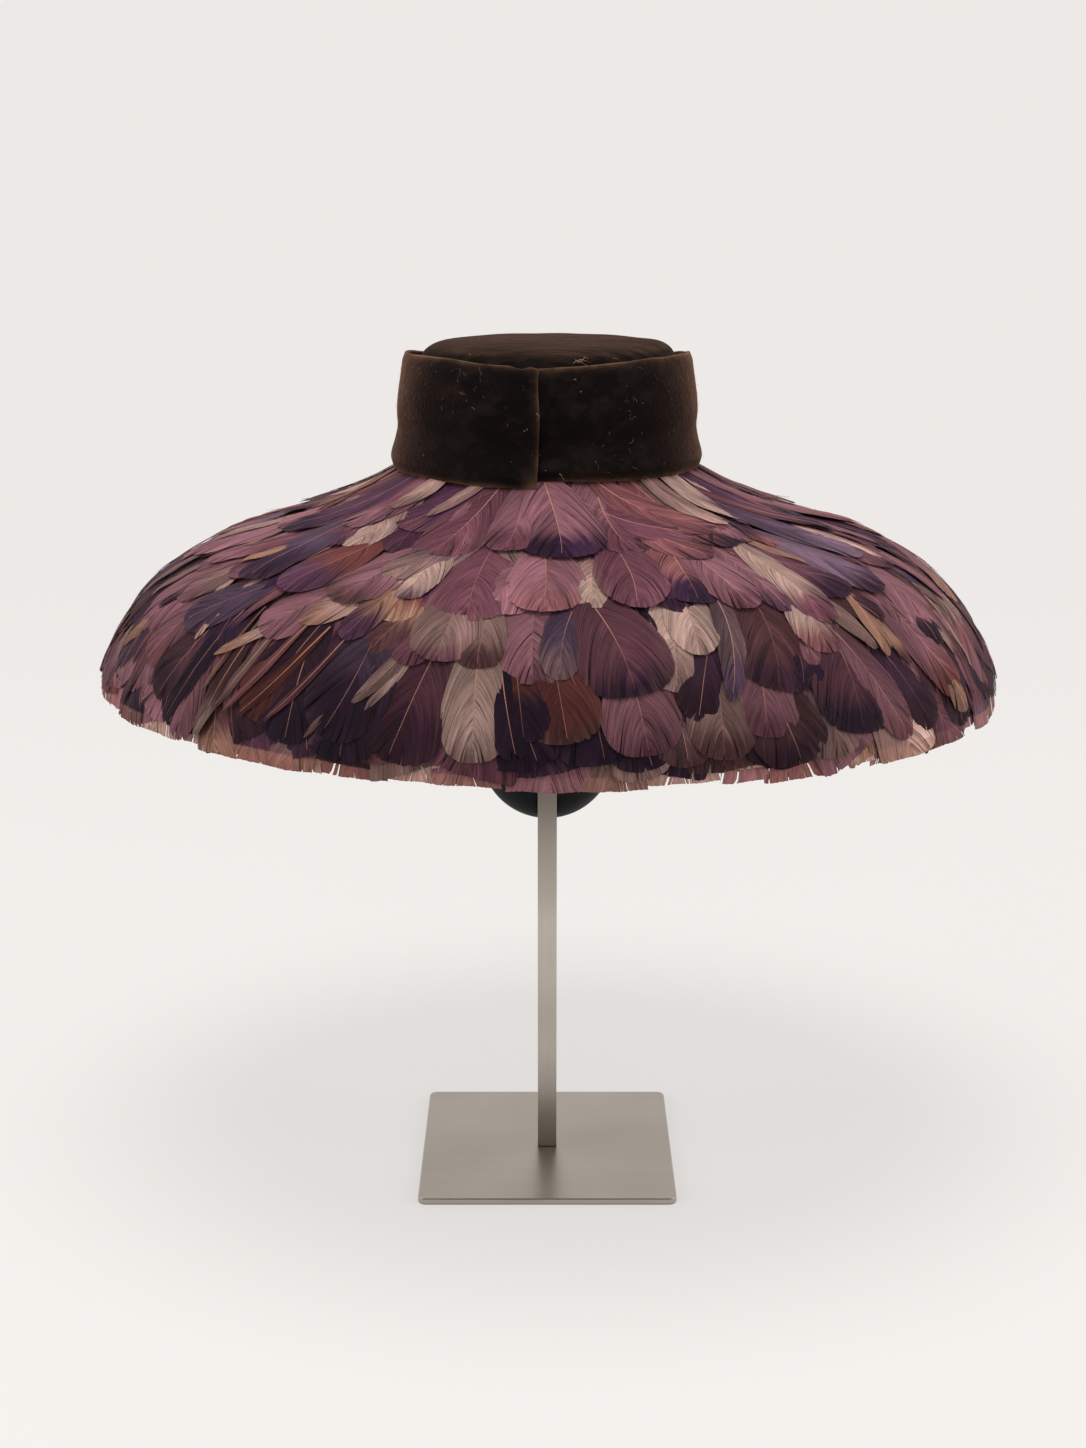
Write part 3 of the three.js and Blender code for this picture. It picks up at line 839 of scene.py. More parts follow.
# The front feathers as they lie in the photograph, row by row. Roots and tips are its pixels, a width is in
# millimetres, "from" is the share of the length where the tip's dye begins, "bend" is in degrees, and
# "over" counts the layers that the feather lies on.
SLIM = 18  # feathers narrower than this are pointed and nearly flat
SIDE = 26.0  # degrees from the front beyond which the feathers lie swept back and more split
TUCK = 24.0  # how far a charted feather's root runs on, out of sight under the row above it
CHART_WIDER = 1.06  # scales for the chart's widths and bends
CHART_BEND = 1.4
CHART_LAYER = 1.5  # the height of a charted feather that lies over none, and of each layer
CHART_LAYER_STEP = 0.55
CHART_COLUMNS = ["root_x", "root_y", "tip_x", "tip_y", "width", "base", "end", "from", "bend", "over"]
CHART = [
    [
        (462, 489, 398, 527, 32, "violet", "plum", 0.6, -10, 0),
        (495, 494, 431, 557, 36, "plum", "plum", 0.5, 8, 1),
        (484, 485, 427, 519, 8, "taupe", "taupe", 0.5, 10, 2),
        (521, 498, 503, 553, 28, "mauve", "plum", 0.4, -10, 2),
        (543, 490, 561, 561, 46, "mauve", "ink", 0.42, -16, 3),
        (600, 500, 638, 549, 34, "plum", "aubergine", 0.5, 0, 0),
        (578, 488, 692, 534, 36, "plum", "plum", 0.6, 34, 1),
        (610, 484, 716, 530, 26, "rose", "plum", 0.7, 30, 2),
        (640, 484, 742, 543, 34, "rose", "ink", 0.6, 16, 1),
        (650, 474, 728, 527, 15, "taupe", "blush", 0.5, 34, 3),
        (664, 472, 738, 522, 10, "beige", "blush", 0.5, 30, 3),
        (672, 470, 752, 527, 12, "beige", "slate", 0.3, 26, 2),
        (682, 468, 836, 530, 20, "violet", "violet", 0.5, 10, 1),
        (690, 468, 858, 520, 24, "mauve", "rose", 0.4, 8, 2),
        (700, 490, 832, 531, 13, "plum", "ink", 0.5, 4, 3),
        (700, 500, 778, 548, 16, "ink", "rose", 0.55, 6, 1),
        (437, 478, 392, 510, 12, "blush", "taupe", 0.4, -24, 3),
        (430, 478, 345, 527, 26, "plum", "mauve", 0.4, -10, 2),
        (420, 480, 352, 548, 26, "taupe", "beige", 0.4, -8, 1),
        (408, 477, 282, 531, 26, "violet", "ink", 0.5, -6, 2),
        (400, 473, 287, 511, 20, "plum", "aubergine", 0.5, -4, 1),
    ],
    [
        (470, 540, 385, 580, 30, "grey", "taupe", 0.4, 0, 2),
        (440, 545, 404, 600, 24, "beige", "violet", 0.72, -8, 2),
        (425, 580, 385, 622, 26, "rust", "tan", 0.5, 0, 1),
        (493, 551, 466, 622, 48, "plum", "plum", 0.5, 8, 1),
        (590, 548, 592, 609, 26, "taupe", "beige", 0.3, 0, 0),
        (543, 553, 545, 614, 38, "mauve", "rose", 0.6, -6, 2),
        (612, 550, 636, 610, 36, "plum", "plum", 0.5, -14, 3),
        (650, 545, 668, 600, 22, "rose", "aubergine", 0.6, -6, 1),
        (672, 548, 700, 606, 32, "rose", "ink", 0.4, 6, 2),
        (650, 530, 712, 560, 26, "rose", "plum", 0.6, 10, 2),
        (694, 552, 751, 610, 28, "mauve", "plum", 0.6, 10, 3),
        (720, 548, 790, 612, 22, "mauve", "violet", 0.6, 8, 1),
        (752, 552, 830, 623, 24, "beige", "plum", 0.45, 16, 3),
        (742, 545, 850, 594, 34, "plum", "ink", 0.5, 12, 2),
        (732, 508, 862, 557, 26, "slate", "lavender", 0.4, 10, 3),
        (772, 538, 882, 592, 30, "lavender", "ink", 0.6, 12, 3),
        (850, 553, 956, 634, 28, "slate", "ink", 0.55, 16, 1),
        (860, 500, 944, 566, 26, "rose", "mauve", 0.5, 8, 1),
        (852, 522, 952, 600, 30, "mauve", "tan", 0.6, 10, 1),
        (352, 518, 246, 582, 32, "slate", "ink", 0.3, -6, 3),
        (366, 545, 282, 592, 34, "rust", "violet", 0.35, -12, 3),
        (322, 529, 209, 563, 20, "plum", "mauve", 0.5, -4, 2),
        (286, 510, 182, 560, 28, "lavender", "mauve", 0.5, -14, 1),
        (407, 554, 334, 602, 38, "mauve", "cocoa", 0.6, -14, 2),
        (300, 545, 240, 565, 12, "tan", "tan", 0.5, -4, 3),
    ],
    [
        (398, 582, 343, 641, 19, "tan", "violet", 0.4, -14, 3),
        (380, 585, 300, 622, 22, "blush", "tan", 0.5, -10, 1),
        (330, 590, 262, 634, 30, "mauve", "mauve", 0.5, -12, 2),
        (262, 560, 178, 598, 24, "taupe", "mauve", 0.5, -6, 1),
        (264, 584, 186, 622, 32, "slate", "slate", 0.5, -10, 2),
        (322, 600, 216, 656, 8, "blush", "tan", 0.5, -16, 3),
        (428, 594, 368, 655, 32, "tan", "cocoa", 0.3, -8, 1),
        (436, 618, 400, 664, 20, "plum", "plum", 0.4, -6, 2),
        (460, 605, 436, 663, 34, "taupe", "plum", 0.66, 0, 3),
        (484, 620, 477, 670, 24, "taupe", "cocoa", 0.5, 0, 2),
        (534, 612, 534, 686, 44, "mauve", "plum", 0.72, 4, 1),
        (580, 612, 560, 682, 22, "slate", "grey", 0.5, 22, 2),
        (592, 610, 636, 698, 46, "plum", "ink", 0.62, -10, 3),
        (668, 606, 676, 693, 26, "beige", "taupe", 0.5, 0, 1),
        (682, 598, 700, 656, 26, "beige", "beige", 0.5, 0, 2),
        (712, 600, 729, 702, 16, "grey", "slate", 0.5, -14, 3),
        (752, 604, 776, 692, 42, "cocoa", "aubergine", 0.55, -10, 2),
        (784, 620, 804, 690, 36, "slate", "ink", 0.3, -8, 1),
        (800, 600, 826, 654, 30, "beige", "rose", 0.5, 0, 2),
        (812, 592, 874, 650, 13, "taupe", "taupe", 0.5, 14, 3),
        (838, 590, 882, 622, 26, "cocoa", "aubergine", 0.4, 8, 1),
        (862, 610, 887, 657, 13, "tan", "tan", 0.5, 4, 3),
        (882, 630, 909, 666, 9, "tan", "cocoa", 0.5, 4, 3),
        (876, 596, 957, 692, 30, "mauve", "rust", 0.5, 14, 2),
        (905, 600, 938, 644, 26, "plum", "ink", 0.4, 6, 1),
        (945, 600, 982, 684, 22, "rose", "mauve", 0.5, 10, 1),
    ],
    [
        (200, 605, 147, 662, 34, "mauve", "rose", 0.5, -8, 1),
        (158, 612, 126, 646, 10, "tan", "tan", 0.5, -6, 2),
        (200, 636, 158, 698, 34, "plum", "aubergine", 0.4, -6, 2),
        (226, 624, 165, 722, 15, "ink", "ink", 0.5, -16, 3),
        (200, 666, 180, 740, 20, "mauve", "mauve", 0.5, -4, 3),
        (286, 640, 226, 712, 6, "rose", "rose", 0.4, -22, 4),
        (262, 640, 208, 718, 6, "taupe", "cocoa", 0.5, -20, 4),
        (296, 652, 240, 716, 8, "rust", "rust", 0.4, -22, 4),
        (236, 636, 206, 690, 5, "cocoa", "tan", 0.4, -16, 3),
        (324, 652, 266, 722, 5, "plum", "rose", 0.5, -24, 4),
        (350, 668, 304, 738, 5, "cocoa", "taupe", 0.5, -18, 3),
        (240, 650, 197, 738, 12, "cocoa", "beige", 0.5, -10, 4),
        (310, 624, 244, 690, 26, "rose", "rust", 0.4, -10, 1),
        (304, 636, 250, 717, 38, "aubergine", "rust", 0.5, -20, 2),
        (370, 616, 322, 736, 44, "slate", "ink", 0.3, -34, 3),
        (398, 648, 352, 704, 9, "taupe", "taupe", 0.5, -24, 3),
        (404, 652, 362, 712, 8, "beige", "taupe", 0.5, -20, 2),
        (430, 658, 386, 762, 44, "plum", "aubergine", 0.3, -4, 2),
        (477, 660, 473, 764, 31, "beige", "taupe", 0.7, 0, 3),
        (506, 688, 517, 760, 18, "ink", "ink", 0.5, 4, 3),
        (518, 672, 526, 744, 40, "rust", "ink", 0.25, 0, 2),
        (558, 680, 568, 745, 36, "rust", "cocoa", 0.7, 0, 3),
        (586, 680, 604, 766, 46, "ink", "ink", 0.2, 0, 1),
        (632, 686, 648, 756, 38, "mauve", "plum", 0.6, -4, 3),
        (672, 680, 688, 768, 34, "grey", "cocoa", 0.6, 0, 1),
        (712, 648, 697, 722, 26, "violet", "aubergine", 0.4, 10, 2),
        (718, 690, 724, 760, 34, "taupe", "cocoa", 0.5, 0, 3),
        (760, 678, 766, 738, 36, "mauve", "plum", 0.5, 0, 2),
        (815, 680, 842, 757, 34, "grey", "taupe", 0.5, 4, 1),
        (833, 638, 862, 735, 48, "plum", "ink", 0.5, -2, 3),
        (850, 646, 906, 738, 24, "mauve", "rose", 0.6, 8, 4),
        (888, 655, 931, 727, 30, "violet", "aubergine", 0.4, 6, 2),
        (944, 662, 961, 712, 18, "tan", "tan", 0.5, 2, 3),
    ],
    [
        (150, 648, 127, 714, 30, "slate", "ink", 0.3, -6, 1),
        (222, 690, 220, 748, 24, "cocoa", "tan", 0.4, 0, 3),
        (264, 692, 250, 752, 42, "violet", "plum", 0.5, 0, 1),
        (306, 650, 286, 745, 36, "aubergine", "ink", 0.4, -6, 2),
        (308, 698, 284, 766, 26, "grey", "cocoa", 0.5, -8, 2),
        (352, 690, 340, 762, 38, "aubergine", "ink", 0.4, 0, 1),
        (516, 700, 540, 767, 52, "aubergine", "ink", 0.3, 0, 1),
        (640, 730, 652, 770, 36, "ink", "ink", 0.5, 0, 1),
        (775, 696, 802, 764, 42, "cocoa", "aubergine", 0.5, 2, 2),
        (880, 696, 916, 758, 40, "taupe", "beige", 0.5, 2, 4),
        (925, 686, 960, 746, 34, "plum", "plum", 0.5, 4, 1),
        (958, 650, 985, 726, 26, "plum", "lavender", 0.5, 6, 3),
    ],
]


def tone_in(row, dye):
    """How bright a dye is made in a row; the lower rows' darkness is partly painted shade."""
    return row["pale"] if dye in PALE_DYES else row["tone"]


def spaced(place, count):
    """The angle of a place in a row of so many, counted from the front."""
    return FRONT + place * 360 / count


def charted_feathers(number, rng):
    """The feathers of one row that the photograph shows, from their roots and tips in it."""
    feathers = []
    for line in CHART[number]:
        c = dict(zip(CHART_COLUMNS, line))
        root, root_angle = from_photo(c["root_x"], c["root_y"])
        tip, angle = from_photo(c["tip_x"], c["tip_y"])
        across = (angle - root_angle) * reach((root + tip) / 2, angle)
        slim = c["width"] < SLIM
        swept = abs(angle - FRONT) > SIDE and not slim
        edge = RIM - rim_trim(angle)
        trimmed = number == len(ROWS) - 1 and tip > edge - 5
        feather = Feather(
            tip=edge + OVERHANG if trimmed else min(tip, edge), angle=angle,
            length=math.hypot(tip - root, across) + TUCK, width=c["width"] * CHART_WIDER,
            lean=math.degrees(math.atan2(across, tip - root)), bend=c["bend"] * CHART_BEND,
            base=c["base"], end=c["end"], end_from=0.3 + 0.7 * c["from"],
            layer=CHART_LAYER + CHART_LAYER_STEP * c["over"],
            blunt=2.0 if slim else rng.uniform(2.3, 3.1), widest=0.55 if slim else rng.uniform(0.6, 0.72),
            root_width=0.5 if slim else 0.4, locks=int(rng.integers(2, 4 if slim else 6)) + 3 * swept,
            gap=rng.uniform(0.02, 0.1) + 0.06 * swept, ragged=rng.uniform(0.006, 0.018),
            roll=rng.normal(0, 0.3), camber=0.6 if slim else 1.2, tint=rng.uniform(0.1, 0.5),
            tone=tone_in(ROWS[number], c["base"]),
        )
        if trimmed:
            feather.cut_square()
            feather.tone = RIM_TONE * (1.3 if c["base"] in PALE_DYES else 0.8)
            feather.rise, feather.nicks, feather.trimmed = RIM_RISE, 0, True
        feathers.append(feather)
    return feathers


def laid_row(number, row, rng):
    """The feathers of one row all round the brim: under-feathers first, then the main ones."""
    feathers = []
    rim = number == len(ROWS) - 1
    for under in (True, False):
        for i in range(row["count"]):
            base = rng.choice(UNDER_DYES if under else MAIN_DYES)
            end = rng.choice(END_DYES[base])
            angle = spaced(i + 0.5 * under + 0.5 * (number % 2) + rng.uniform(-0.2, 0.2), row["count"])
            tip = row["tip"] + rng.uniform(-5, 5) + (4 if under else 0)
            straight = rim and rng.uniform() < 0.6
            if rim:
                past = rng.uniform(-1, 1) if straight else rng.uniform(-8, 3)
                tip = FOUNDATION_EDGE - rim_trim(angle) + past
            layer = 0.0 if under else 0.7 + 0.9 * (i % 2)
            feathers.append(Feather(
                tip=tip, angle=angle, length=row["tip"] - row["root"] + rng.uniform(-4, 8),
                width=row["width"] * rng.uniform(0.75, 1.15), lean=rng.normal(0, 11), bend=rng.normal(0, 18),
                base=base, end=end, end_from=rng.uniform(0.4, 0.85), layer=layer + rng.uniform(0, 0.3),
                blunt=CUT_BLUNT if straight else rng.uniform(1.8, 3.1),
                widest=CUT_WIDEST if straight else rng.uniform(0.5, 0.7),
                locks=int(rng.integers(2, 7)), gap=rng.uniform(0.03, 0.14), ragged=rng.uniform(0.006, 0.018),
                roll=rng.normal(0, 0.35), rise=2.7 if under else 3.1, tint=rng.uniform(0, 0.5),
                tone=tone_in(row, base) * rng.uniform(0.85, 1.2),
            ))
    return feathers


def ribbon_row(row, rng):
    """Slim curved feathers here and there over a row, away from the middle of the front."""
    feathers = []
    for i in range(RIBBONS["count"]):
        angle = spaced(i + rng.uniform(0.1, 0.9), RIBBONS["count"])
        if abs((angle - FRONT + 180) % 360 - 180) < RIBBONS["clear"]:
            continue
        base = rng.choice(RIBBON_DYES)
        feathers.append(Feather(
            tip=row["tip"] + rng.uniform(-24, -4), angle=angle,
            length=(row["tip"] - row["root"]) * RIBBONS["share"],
            width=RIBBONS["width"] * rng.uniform(0.5, 1.9), lean=rng.normal(0, 9), bend=rng.normal(0, 26),
            base=base, end=rng.choice(END_DYES[base]), end_from=rng.uniform(0.3, 0.8),
            layer=rng.uniform(0.9, 2.7), blunt=2.0, widest=rng.uniform(0.4, 0.6), root_width=0.5,
            locks=int(rng.integers(1, 4)), gap=rng.uniform(0.02, 0.1), camber=0.5, rise=2.6,
            tint=rng.uniform(0.1, 0.9), tone=tone_in(row, base) * rng.uniform(0.75, 1.2),
        ))
    return feathers


def trimmed_row(rng):
    """The rim's under-feathers, cut unevenly along the rim, with a few narrow slits."""
    feathers = []
    for i in range(TRIMMED["count"]):
        angle = spaced(i + rng.uniform(-0.15, 0.15), TRIMMED["count"])
        feathers.append(Feather(
            tip=RIM - rim_trim(angle) + OVERHANG + rng.uniform(-3.2, 0.9), angle=angle,
            length=TRIMMED["length"], width=TRIMMED["width"] * rng.uniform(0.9, 1.1),
            lean=rng.normal(0, 3), bend=rng.normal(0, 3), base=rng.choice(RIM_DYES),
            layer=rng.uniform(-0.3, 0.3), blunt=14, widest=0.9, locks=int(rng.integers(2, 6)),
            gap=rng.uniform(0.05, 0.24), ragged=0.008, rise=RIM_RISE, camber=0.4, lead=0.7, nicks=0,
            tint=0.2, tone=RIM_TONE * rng.uniform(0.7, 1.35), trimmed=True,
        ))
    return feathers


def add_feathers():
    """Each row as a piece of its own, its feathers from the lowest layer to the topmost."""
    material = feather_look()
    for number, row in enumerate(ROWS):
        rng = np.random.default_rng(SEEDS["rows"] + number)
        feathers = laid_row(number, row, rng)
        if number == len(ROWS) - 1:
            feathers += trimmed_row(rng)
        feathers += ribbon_row(row, rng) + charted_feathers(number, rng)
        node = f"feather_row_{number + 1}"
        feather_piece(f"plumes_{number + 1}", feathers, material, [node], SEEDS["barbs"] + number)


def add_wisps():
    """Single loose barbs that stand a little off the feathers."""
    rng = np.random.default_rng(SEEDS["wisps"])
    parts, dyes = [], []
    swing = np.linspace(0, 1, 9)
    for _ in range(WISP_COUNT):
        start, angle, length = rng.uniform(20, 195), rng.uniform(0, 360), rng.uniform(9, 26)
        heading = rng.normal(0, 0.35) + rng.normal(0, 0.9) * (swing - 0.5)
        along = start + np.cumsum(np.cos(heading)) * length / len(swing)
        along = np.minimum(along, RIM - rim_trim(angle) - 1)
        turned = angle + np.cumsum(np.sin(heading)) * length / len(swing) / reach(start, angle)
        height = 3.0 + rng.uniform(1.2, 3.6) * swing
        points, faces = strand(brim_point(along, turned, height), rng.uniform(0.1, 0.2), 3)
        parts.append((points, faces))
        dyes.append(np.tile(srgb(DYES[rng.choice(WISP_DYES)]) * rng.uniform(0.4, 0.8), (len(points), 1)))
    points, faces = joined(parts)
    values = {"dye": np.concatenate(dyes)}
    make_mesh("loose_barbs", points, faces, wisp_look(), "feather", attributes=values)


# The foundation under the feathers

ROUNDING = np.radians(np.linspace(90, -90, 9)[1:-1])  # the way over a rounded edge


def add_foundation():
    """A stiff shell from the crown to just short of the feathers' rim, with a rolled wire edge."""
    columns, steps = 240, 60
    inner_edge, clear = 1.0, 0.05
    turn = all_round(columns)
    edge = FOUNDATION_EDGE - rim_trim(turn)
    along = inner_edge + np.linspace(0, 1, steps)[:, None] * (edge - inner_edge)[None, :]
    top = brim_point(along, turn, -clear)
    low = brim_point(along, turn, -FOUNDATION_WALL)
    half = FOUNDATION_WALL / 2
    bead = ROUNDING[:, None]
    rolled = brim_point(edge + 1.1 * half * np.cos(bead), turn, -half + 1.15 * half * np.sin(bead))
    points = np.concatenate([top, rolled, low[::-1]])
    flat = points.reshape(-1, 3)
    out = np.hypot(flat[:, 0], flat[:, 1])
    seat = CROWN_OUTLINE[0, 0] + 0.3
    flat[:, :2] *= np.where(out < seat, seat / np.maximum(out, 1), 1)[:, None]
    faces = grid_faces(len(points), columns, closed_columns=True, closed_rows=True)
    cloth = cloth_look("foundation_cloth", (34, 24, 26), (58, 44, 44), 260.0)
    make_mesh("brim_cloth", flat, faces, cloth, "foundation", FOUNDATION_NODES)


# The crown and its band

def add_crown(material):
    """A shallow velvet crown with a softly rounded top edge, open below."""
    columns, steps = 200, 74
    run = run_along(CROWN_OUTLINE)
    along = np.linspace(0, run[-1], steps)
    radius, height = (spline(run, CROWN_OUTLINE[:, k])(along) for k in (0, 1))
    radius[-1] = 0.02
    turn = np.radians(all_round(columns))
    dents = ripples(SEEDS["crown"], 7, 0.03, 0.09)
    pucker = ripples(SEEDS["crown"] + 1, 6, 0.15, 0.3)

    def shell(inward):
        """The outer face, or one that lies further in."""
        slope_r, slope_z = np.gradient(radius), np.gradient(height)
        length = np.hypot(slope_r, slope_z)
        r = (radius - inward * slope_z / length)[:, None]
        z = (height + inward * slope_r / length)[:, None]
        x, y = r * np.cos(turn), r * np.sin(turn)
        soft = 0.55 * dents(x, y + 2 * z) + 0.14 * pucker(x, y)
        soft = soft * eased(z, *CROWN_SOFT) - 0.5
        return np.stack([x, y, z + soft * (inward == 0)], -1)

    outer, inner = shell(0), shell(CROWN_WALL)
    points = np.concatenate([outer, inner[::-1]])
    faces = grid_faces(len(points), columns, closed_columns=True)
    rim = grid_faces(2, columns, closed_columns=True)
    rim = np.where(rim >= columns, rim - columns, rim + (len(points) - 1) * columns)
    out = np.hypot(outer[..., 0], outer[..., 1])
    worn = eased(outer[..., 2], *CROWN_WORN) * eased(out, *CROWN_WORN_OUT)
    values = {"wear": np.concatenate([0.25 * worn, 0 * worn]).ravel()}
    faces = np.concatenate([faces, rim])
    make_mesh("crown_velvet", points.reshape(-1, 3), faces, material, "velvet", ["crown"], values)


def band_edge(k):
    """One column of the band's edges, by the angle in degrees."""
    return lambda angle: np.interp(angle, BAND_EDGES[:, 0], BAND_EDGES[:, k])


band_section = column(BAND_SECTION)
band_low, band_high, band_flare = (band_edge(k) for k in (1, 2, 3))


def add_band(material):
    """The velvet band: a folded strip round the crown, whose left end laps over its right end."""
    start, end = BAND_LAP_END - BAND_LAP, BAND_LAP_END + 360
    half = BAND_THICKNESS / 2
    to_end = np.array([0.0, 0.1, 0.35, 0.7, half, 1.6])  # millimetres from the lap's edge
    near_end = end - np.degrees(to_end[::-1] / BAND_RADIUS)
    angle = np.unique(np.concatenate([np.linspace(start, end - 1.6, 236), near_end]))
    from_end = np.radians(end - angle) * BAND_RADIUS
    fold = np.sqrt(np.clip(1 - (1 - np.minimum(from_end, half) / half) ** 2, 0, 1))
    inset = (BAND_THICKNESS + BAND_GAP) * (1 - eased(angle, start + BAND_LAP, BAND_SETTLE))
    dents = ripples(SEEDS["band"], 9, 0.02, 0.075)
    small = ripples(SEEDS["band"] + 1, 8, 0.12, 0.3)

    # The way round the folded cloth: share of the height, out from its middle, past its edge.
    face = np.linspace(0.0, 1.0, 46)
    ones, rounded, past = np.ones(len(face)), np.sin(ROUNDING), half * np.cos(ROUNDING)
    share = np.concatenate([face, 0 * past + 1, face[::-1], 0 * past])[:, None]
    out = np.concatenate([ones, rounded, -ones, -rounded])[:, None]
    drop = np.concatenate([0 * ones, past, 0 * ones, -past])[:, None]

    low = band_low(angle)
    high = band_high(angle) - 1.3 * hump(from_end, 11, 4) + 0.5 * hump(from_end, 5, 2)
    z = low + half + share * (high - low - 2 * half)
    arc = np.radians(angle) * BAND_RADIUS
    soft = 0.5 * dents(arc, z) + 0.12 * small(arc, z)
    soft = soft * smooth(share / 0.12) * smooth((1 - share) / 0.12)
    hem = 0.14 * hump(z - low, 3.4, 0.55)
    middle = band_section(share) + band_flare(angle) * (1 - share) ** 2 - inset - half
    radius = middle + soft + out * (half - hem * (out > 0)) * fold
    z = z + drop * fold + 0.3 * small(arc + 50, 3 + 0 * z) * eased(np.abs(share - 0.5), 0.35, 0.12)
    uneven = 0.45 * small(9 + 0 * z, z) - 0.7 * hump(z, LAP_NOTCH, 1.2)
    turned = np.radians(angle) + uneven * np.exp(-from_end / 3.5) / BAND_RADIUS
    points = turned_points(radius, turned, z)

    edge = np.minimum(z - low, band_high(angle) - z)
    wear = np.exp(-np.abs(edge) / 0.9) + 0.45 * np.exp(-from_end / 1.1)
    wear += 0.8 * hump(from_end, 0, 5) * hump(z - low, 2, 4)
    rows, count = len(points), len(angle)
    faces = [grid_faces(rows, count, closed_rows=True)]
    for side, order in ((count - 1, 1), (0, -1)):
        ring = np.arange(rows) * count + side
        for k in range(rows // 2 - 1):
            faces.append([[ring[k], ring[k + 1], ring[rows - 2 - k], ring[rows - 1 - k]][::order]])
    piece = make_mesh(
        "band_velvet", points.reshape(-1, 3), np.concatenate(faces), material, "velvet", ["velvet_band"],
        {"wear": np.clip(wear, 0, 1).ravel()},
    )


def velvet_chart():
    """Points over the front of the band and on across the crown, with the pixels where they appear."""
    angle = np.arange(180, 361, 1.0)[None, :]
    share = np.linspace(0, 1, 90)[:, None]
    turned = angle + 360 * (angle < BAND_LAP_END - BAND_LAP)
    low, high = band_low(turned), band_high(turned)
    across = np.linspace(70, 10, 60)[:, None] + 0 * angle
    top = column(CROWN_OUTLINE[:0:-1])(across) + 0.4
    radius = np.concatenate([band_section(share) + 0.5 + 0 * low, across])
    height = np.concatenate([low + share * (high - low), top])
    points = turned_points(radius, np.radians(angle), height)
    return points, on_photo(points)


def threads_in_photo(rng):
    """The loose threads and the tuft that the photograph shows, each a little raised in its middle."""
    points, pixels = velvet_chart()
    parts = []
    for line in THREADS:
        ends = np.array([points[nearest(pixels, *pixel)] for pixel in line])
        share = np.linspace(0, len(ends) - 1, 5 * len(ends))
        route = np.stack([np.interp(share, range(len(ends)), ends[:, k]) for k in range(3)], 1)
        loose = np.sin(share / share[-1] * math.pi)[:, None]
        route += np.array([0, -0.5, 0.25]) * loose
        route += rng.normal(0, 0.12, route.shape) * loose
        parts.append(strand(route, THREAD_RADIUS))
    return parts


def add_threads():
    """Loose threads, a tuft and lint that cling to the velvet."""
    rng = np.random.default_rng(SEEDS["threads"])
    parts = threads_in_photo(rng)
    swing = np.linspace(0, 1, 7)
    for _ in range(LINT_COUNT):
        angle, share = rng.uniform(BAND_LAP_END - 340, BAND_LAP_END - 2), rng.uniform(0.06, 0.94)
        length, turn, curl = rng.uniform(1.5, 6.5), rng.uniform(0, math.pi), rng.normal(0, 2.2)
        heading = turn + curl * (swing - 0.5)
        arc = np.cumsum(np.cos(heading)) * length / len(swing)
        up = np.cumsum(np.sin(heading)) * length / len(swing)
        turned = angle + 360 + np.degrees(arc / BAND_RADIUS)
        low, high = band_low(turned), band_high(turned)
        z = low + share * (high - low) + up
        radius = band_section((z - low) / (high - low)) + (0.1 + 0.5 * np.sin(swing * math.pi))
        parts.append(strand(turned_points(radius, np.radians(turned), z), LINT_RADIUS, 3))
    points, faces = joined(parts)
    make_mesh("velvet_threads", points, faces, thread_look(), "velvet")


# The stand and the padded form

def add_pad():
    """The padded form that holds the hat, with the post's channel in its front."""
    ball = PAD_BALL_Z - PAD_BALL_RADIUS * np.cos(np.radians(np.linspace(1, 86, 22)))
    height = np.concatenate([ball, np.linspace(247, PAD_SECTIONS[-1, 0], 84)])
    wide, deep, centre = (column(PAD_SECTIONS, k)(height) for k in (1, 2, 3))
    in_ball = height < PAD_BALL_Z
    ball_half = np.sqrt(np.maximum(PAD_BALL_RADIUS ** 2 - (PAD_BALL_Z - height) ** 2, 0.01))
    wide, deep = np.where(in_ball, ball_half, wide), np.where(in_ball, ball_half, deep)
    centre = np.where(in_ball, PAD_BALL_Y, centre)
    wide[-1] = deep[-1] = 0.05
    count = 144
    turn = np.radians(all_round(count))
    x = wide[:, None] * np.cos(turn)
    y = centre[:, None] + deep[:, None] * np.sin(turn)
    points = np.stack([x, y, np.broadcast_to(height[:, None], x.shape)], -1).reshape(-1, 3)
    faces = grid_faces(len(height), count, closed_columns=True)
    piece = make_mesh("pad_form", points, faces, pad_look(), "pad_cloth", ["support_pad"])
    cut_channel(piece)


def cut_channel(piece):
    """Takes the post's square channel out of the padded form."""
    half = CHANNEL_HALF
    outline = ((-half, CHANNEL_FRONT), (half, CHANNEL_FRONT), (half, half), (-half, half))
    corners = np.array([(x, y, z) for z in (-10, CHANNEL_TOP) for x, y in outline])
    sides = [(k, (k + 1) % 4, (k + 1) % 4 + 4, k + 4) for k in range(4)]
    cut = bpy.data.meshes.new("channel")
    cut.from_pydata([tuple(c) for c in corners * MM], [], [(0, 3, 2, 1), (4, 5, 6, 7), *sides])
    cutter = bpy.data.objects.new("channel", cut)
    bpy.context.scene.collection.objects.link(cutter)
    clip = piece.modifiers.new("channel", "BOOLEAN")
    clip.operation, clip.solver, clip.object = "DIFFERENCE", "EXACT", cutter
    bpy.context.view_layer.update()
    applied = bpy.data.meshes.new_from_object(piece.evaluated_get(bpy.context.evaluated_depsgraph_get()))
    piece.modifiers.clear()
    piece.data = applied
    bpy.data.objects.remove(cutter)


def dress_steel(node, name, along, painted_shade):
    """Puts brushed steel on a solid of the frame."""
    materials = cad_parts[node].data.materials
    materials.clear()
    materials.append(steel_look(name, along, painted_shade))


# Camera, light and stage

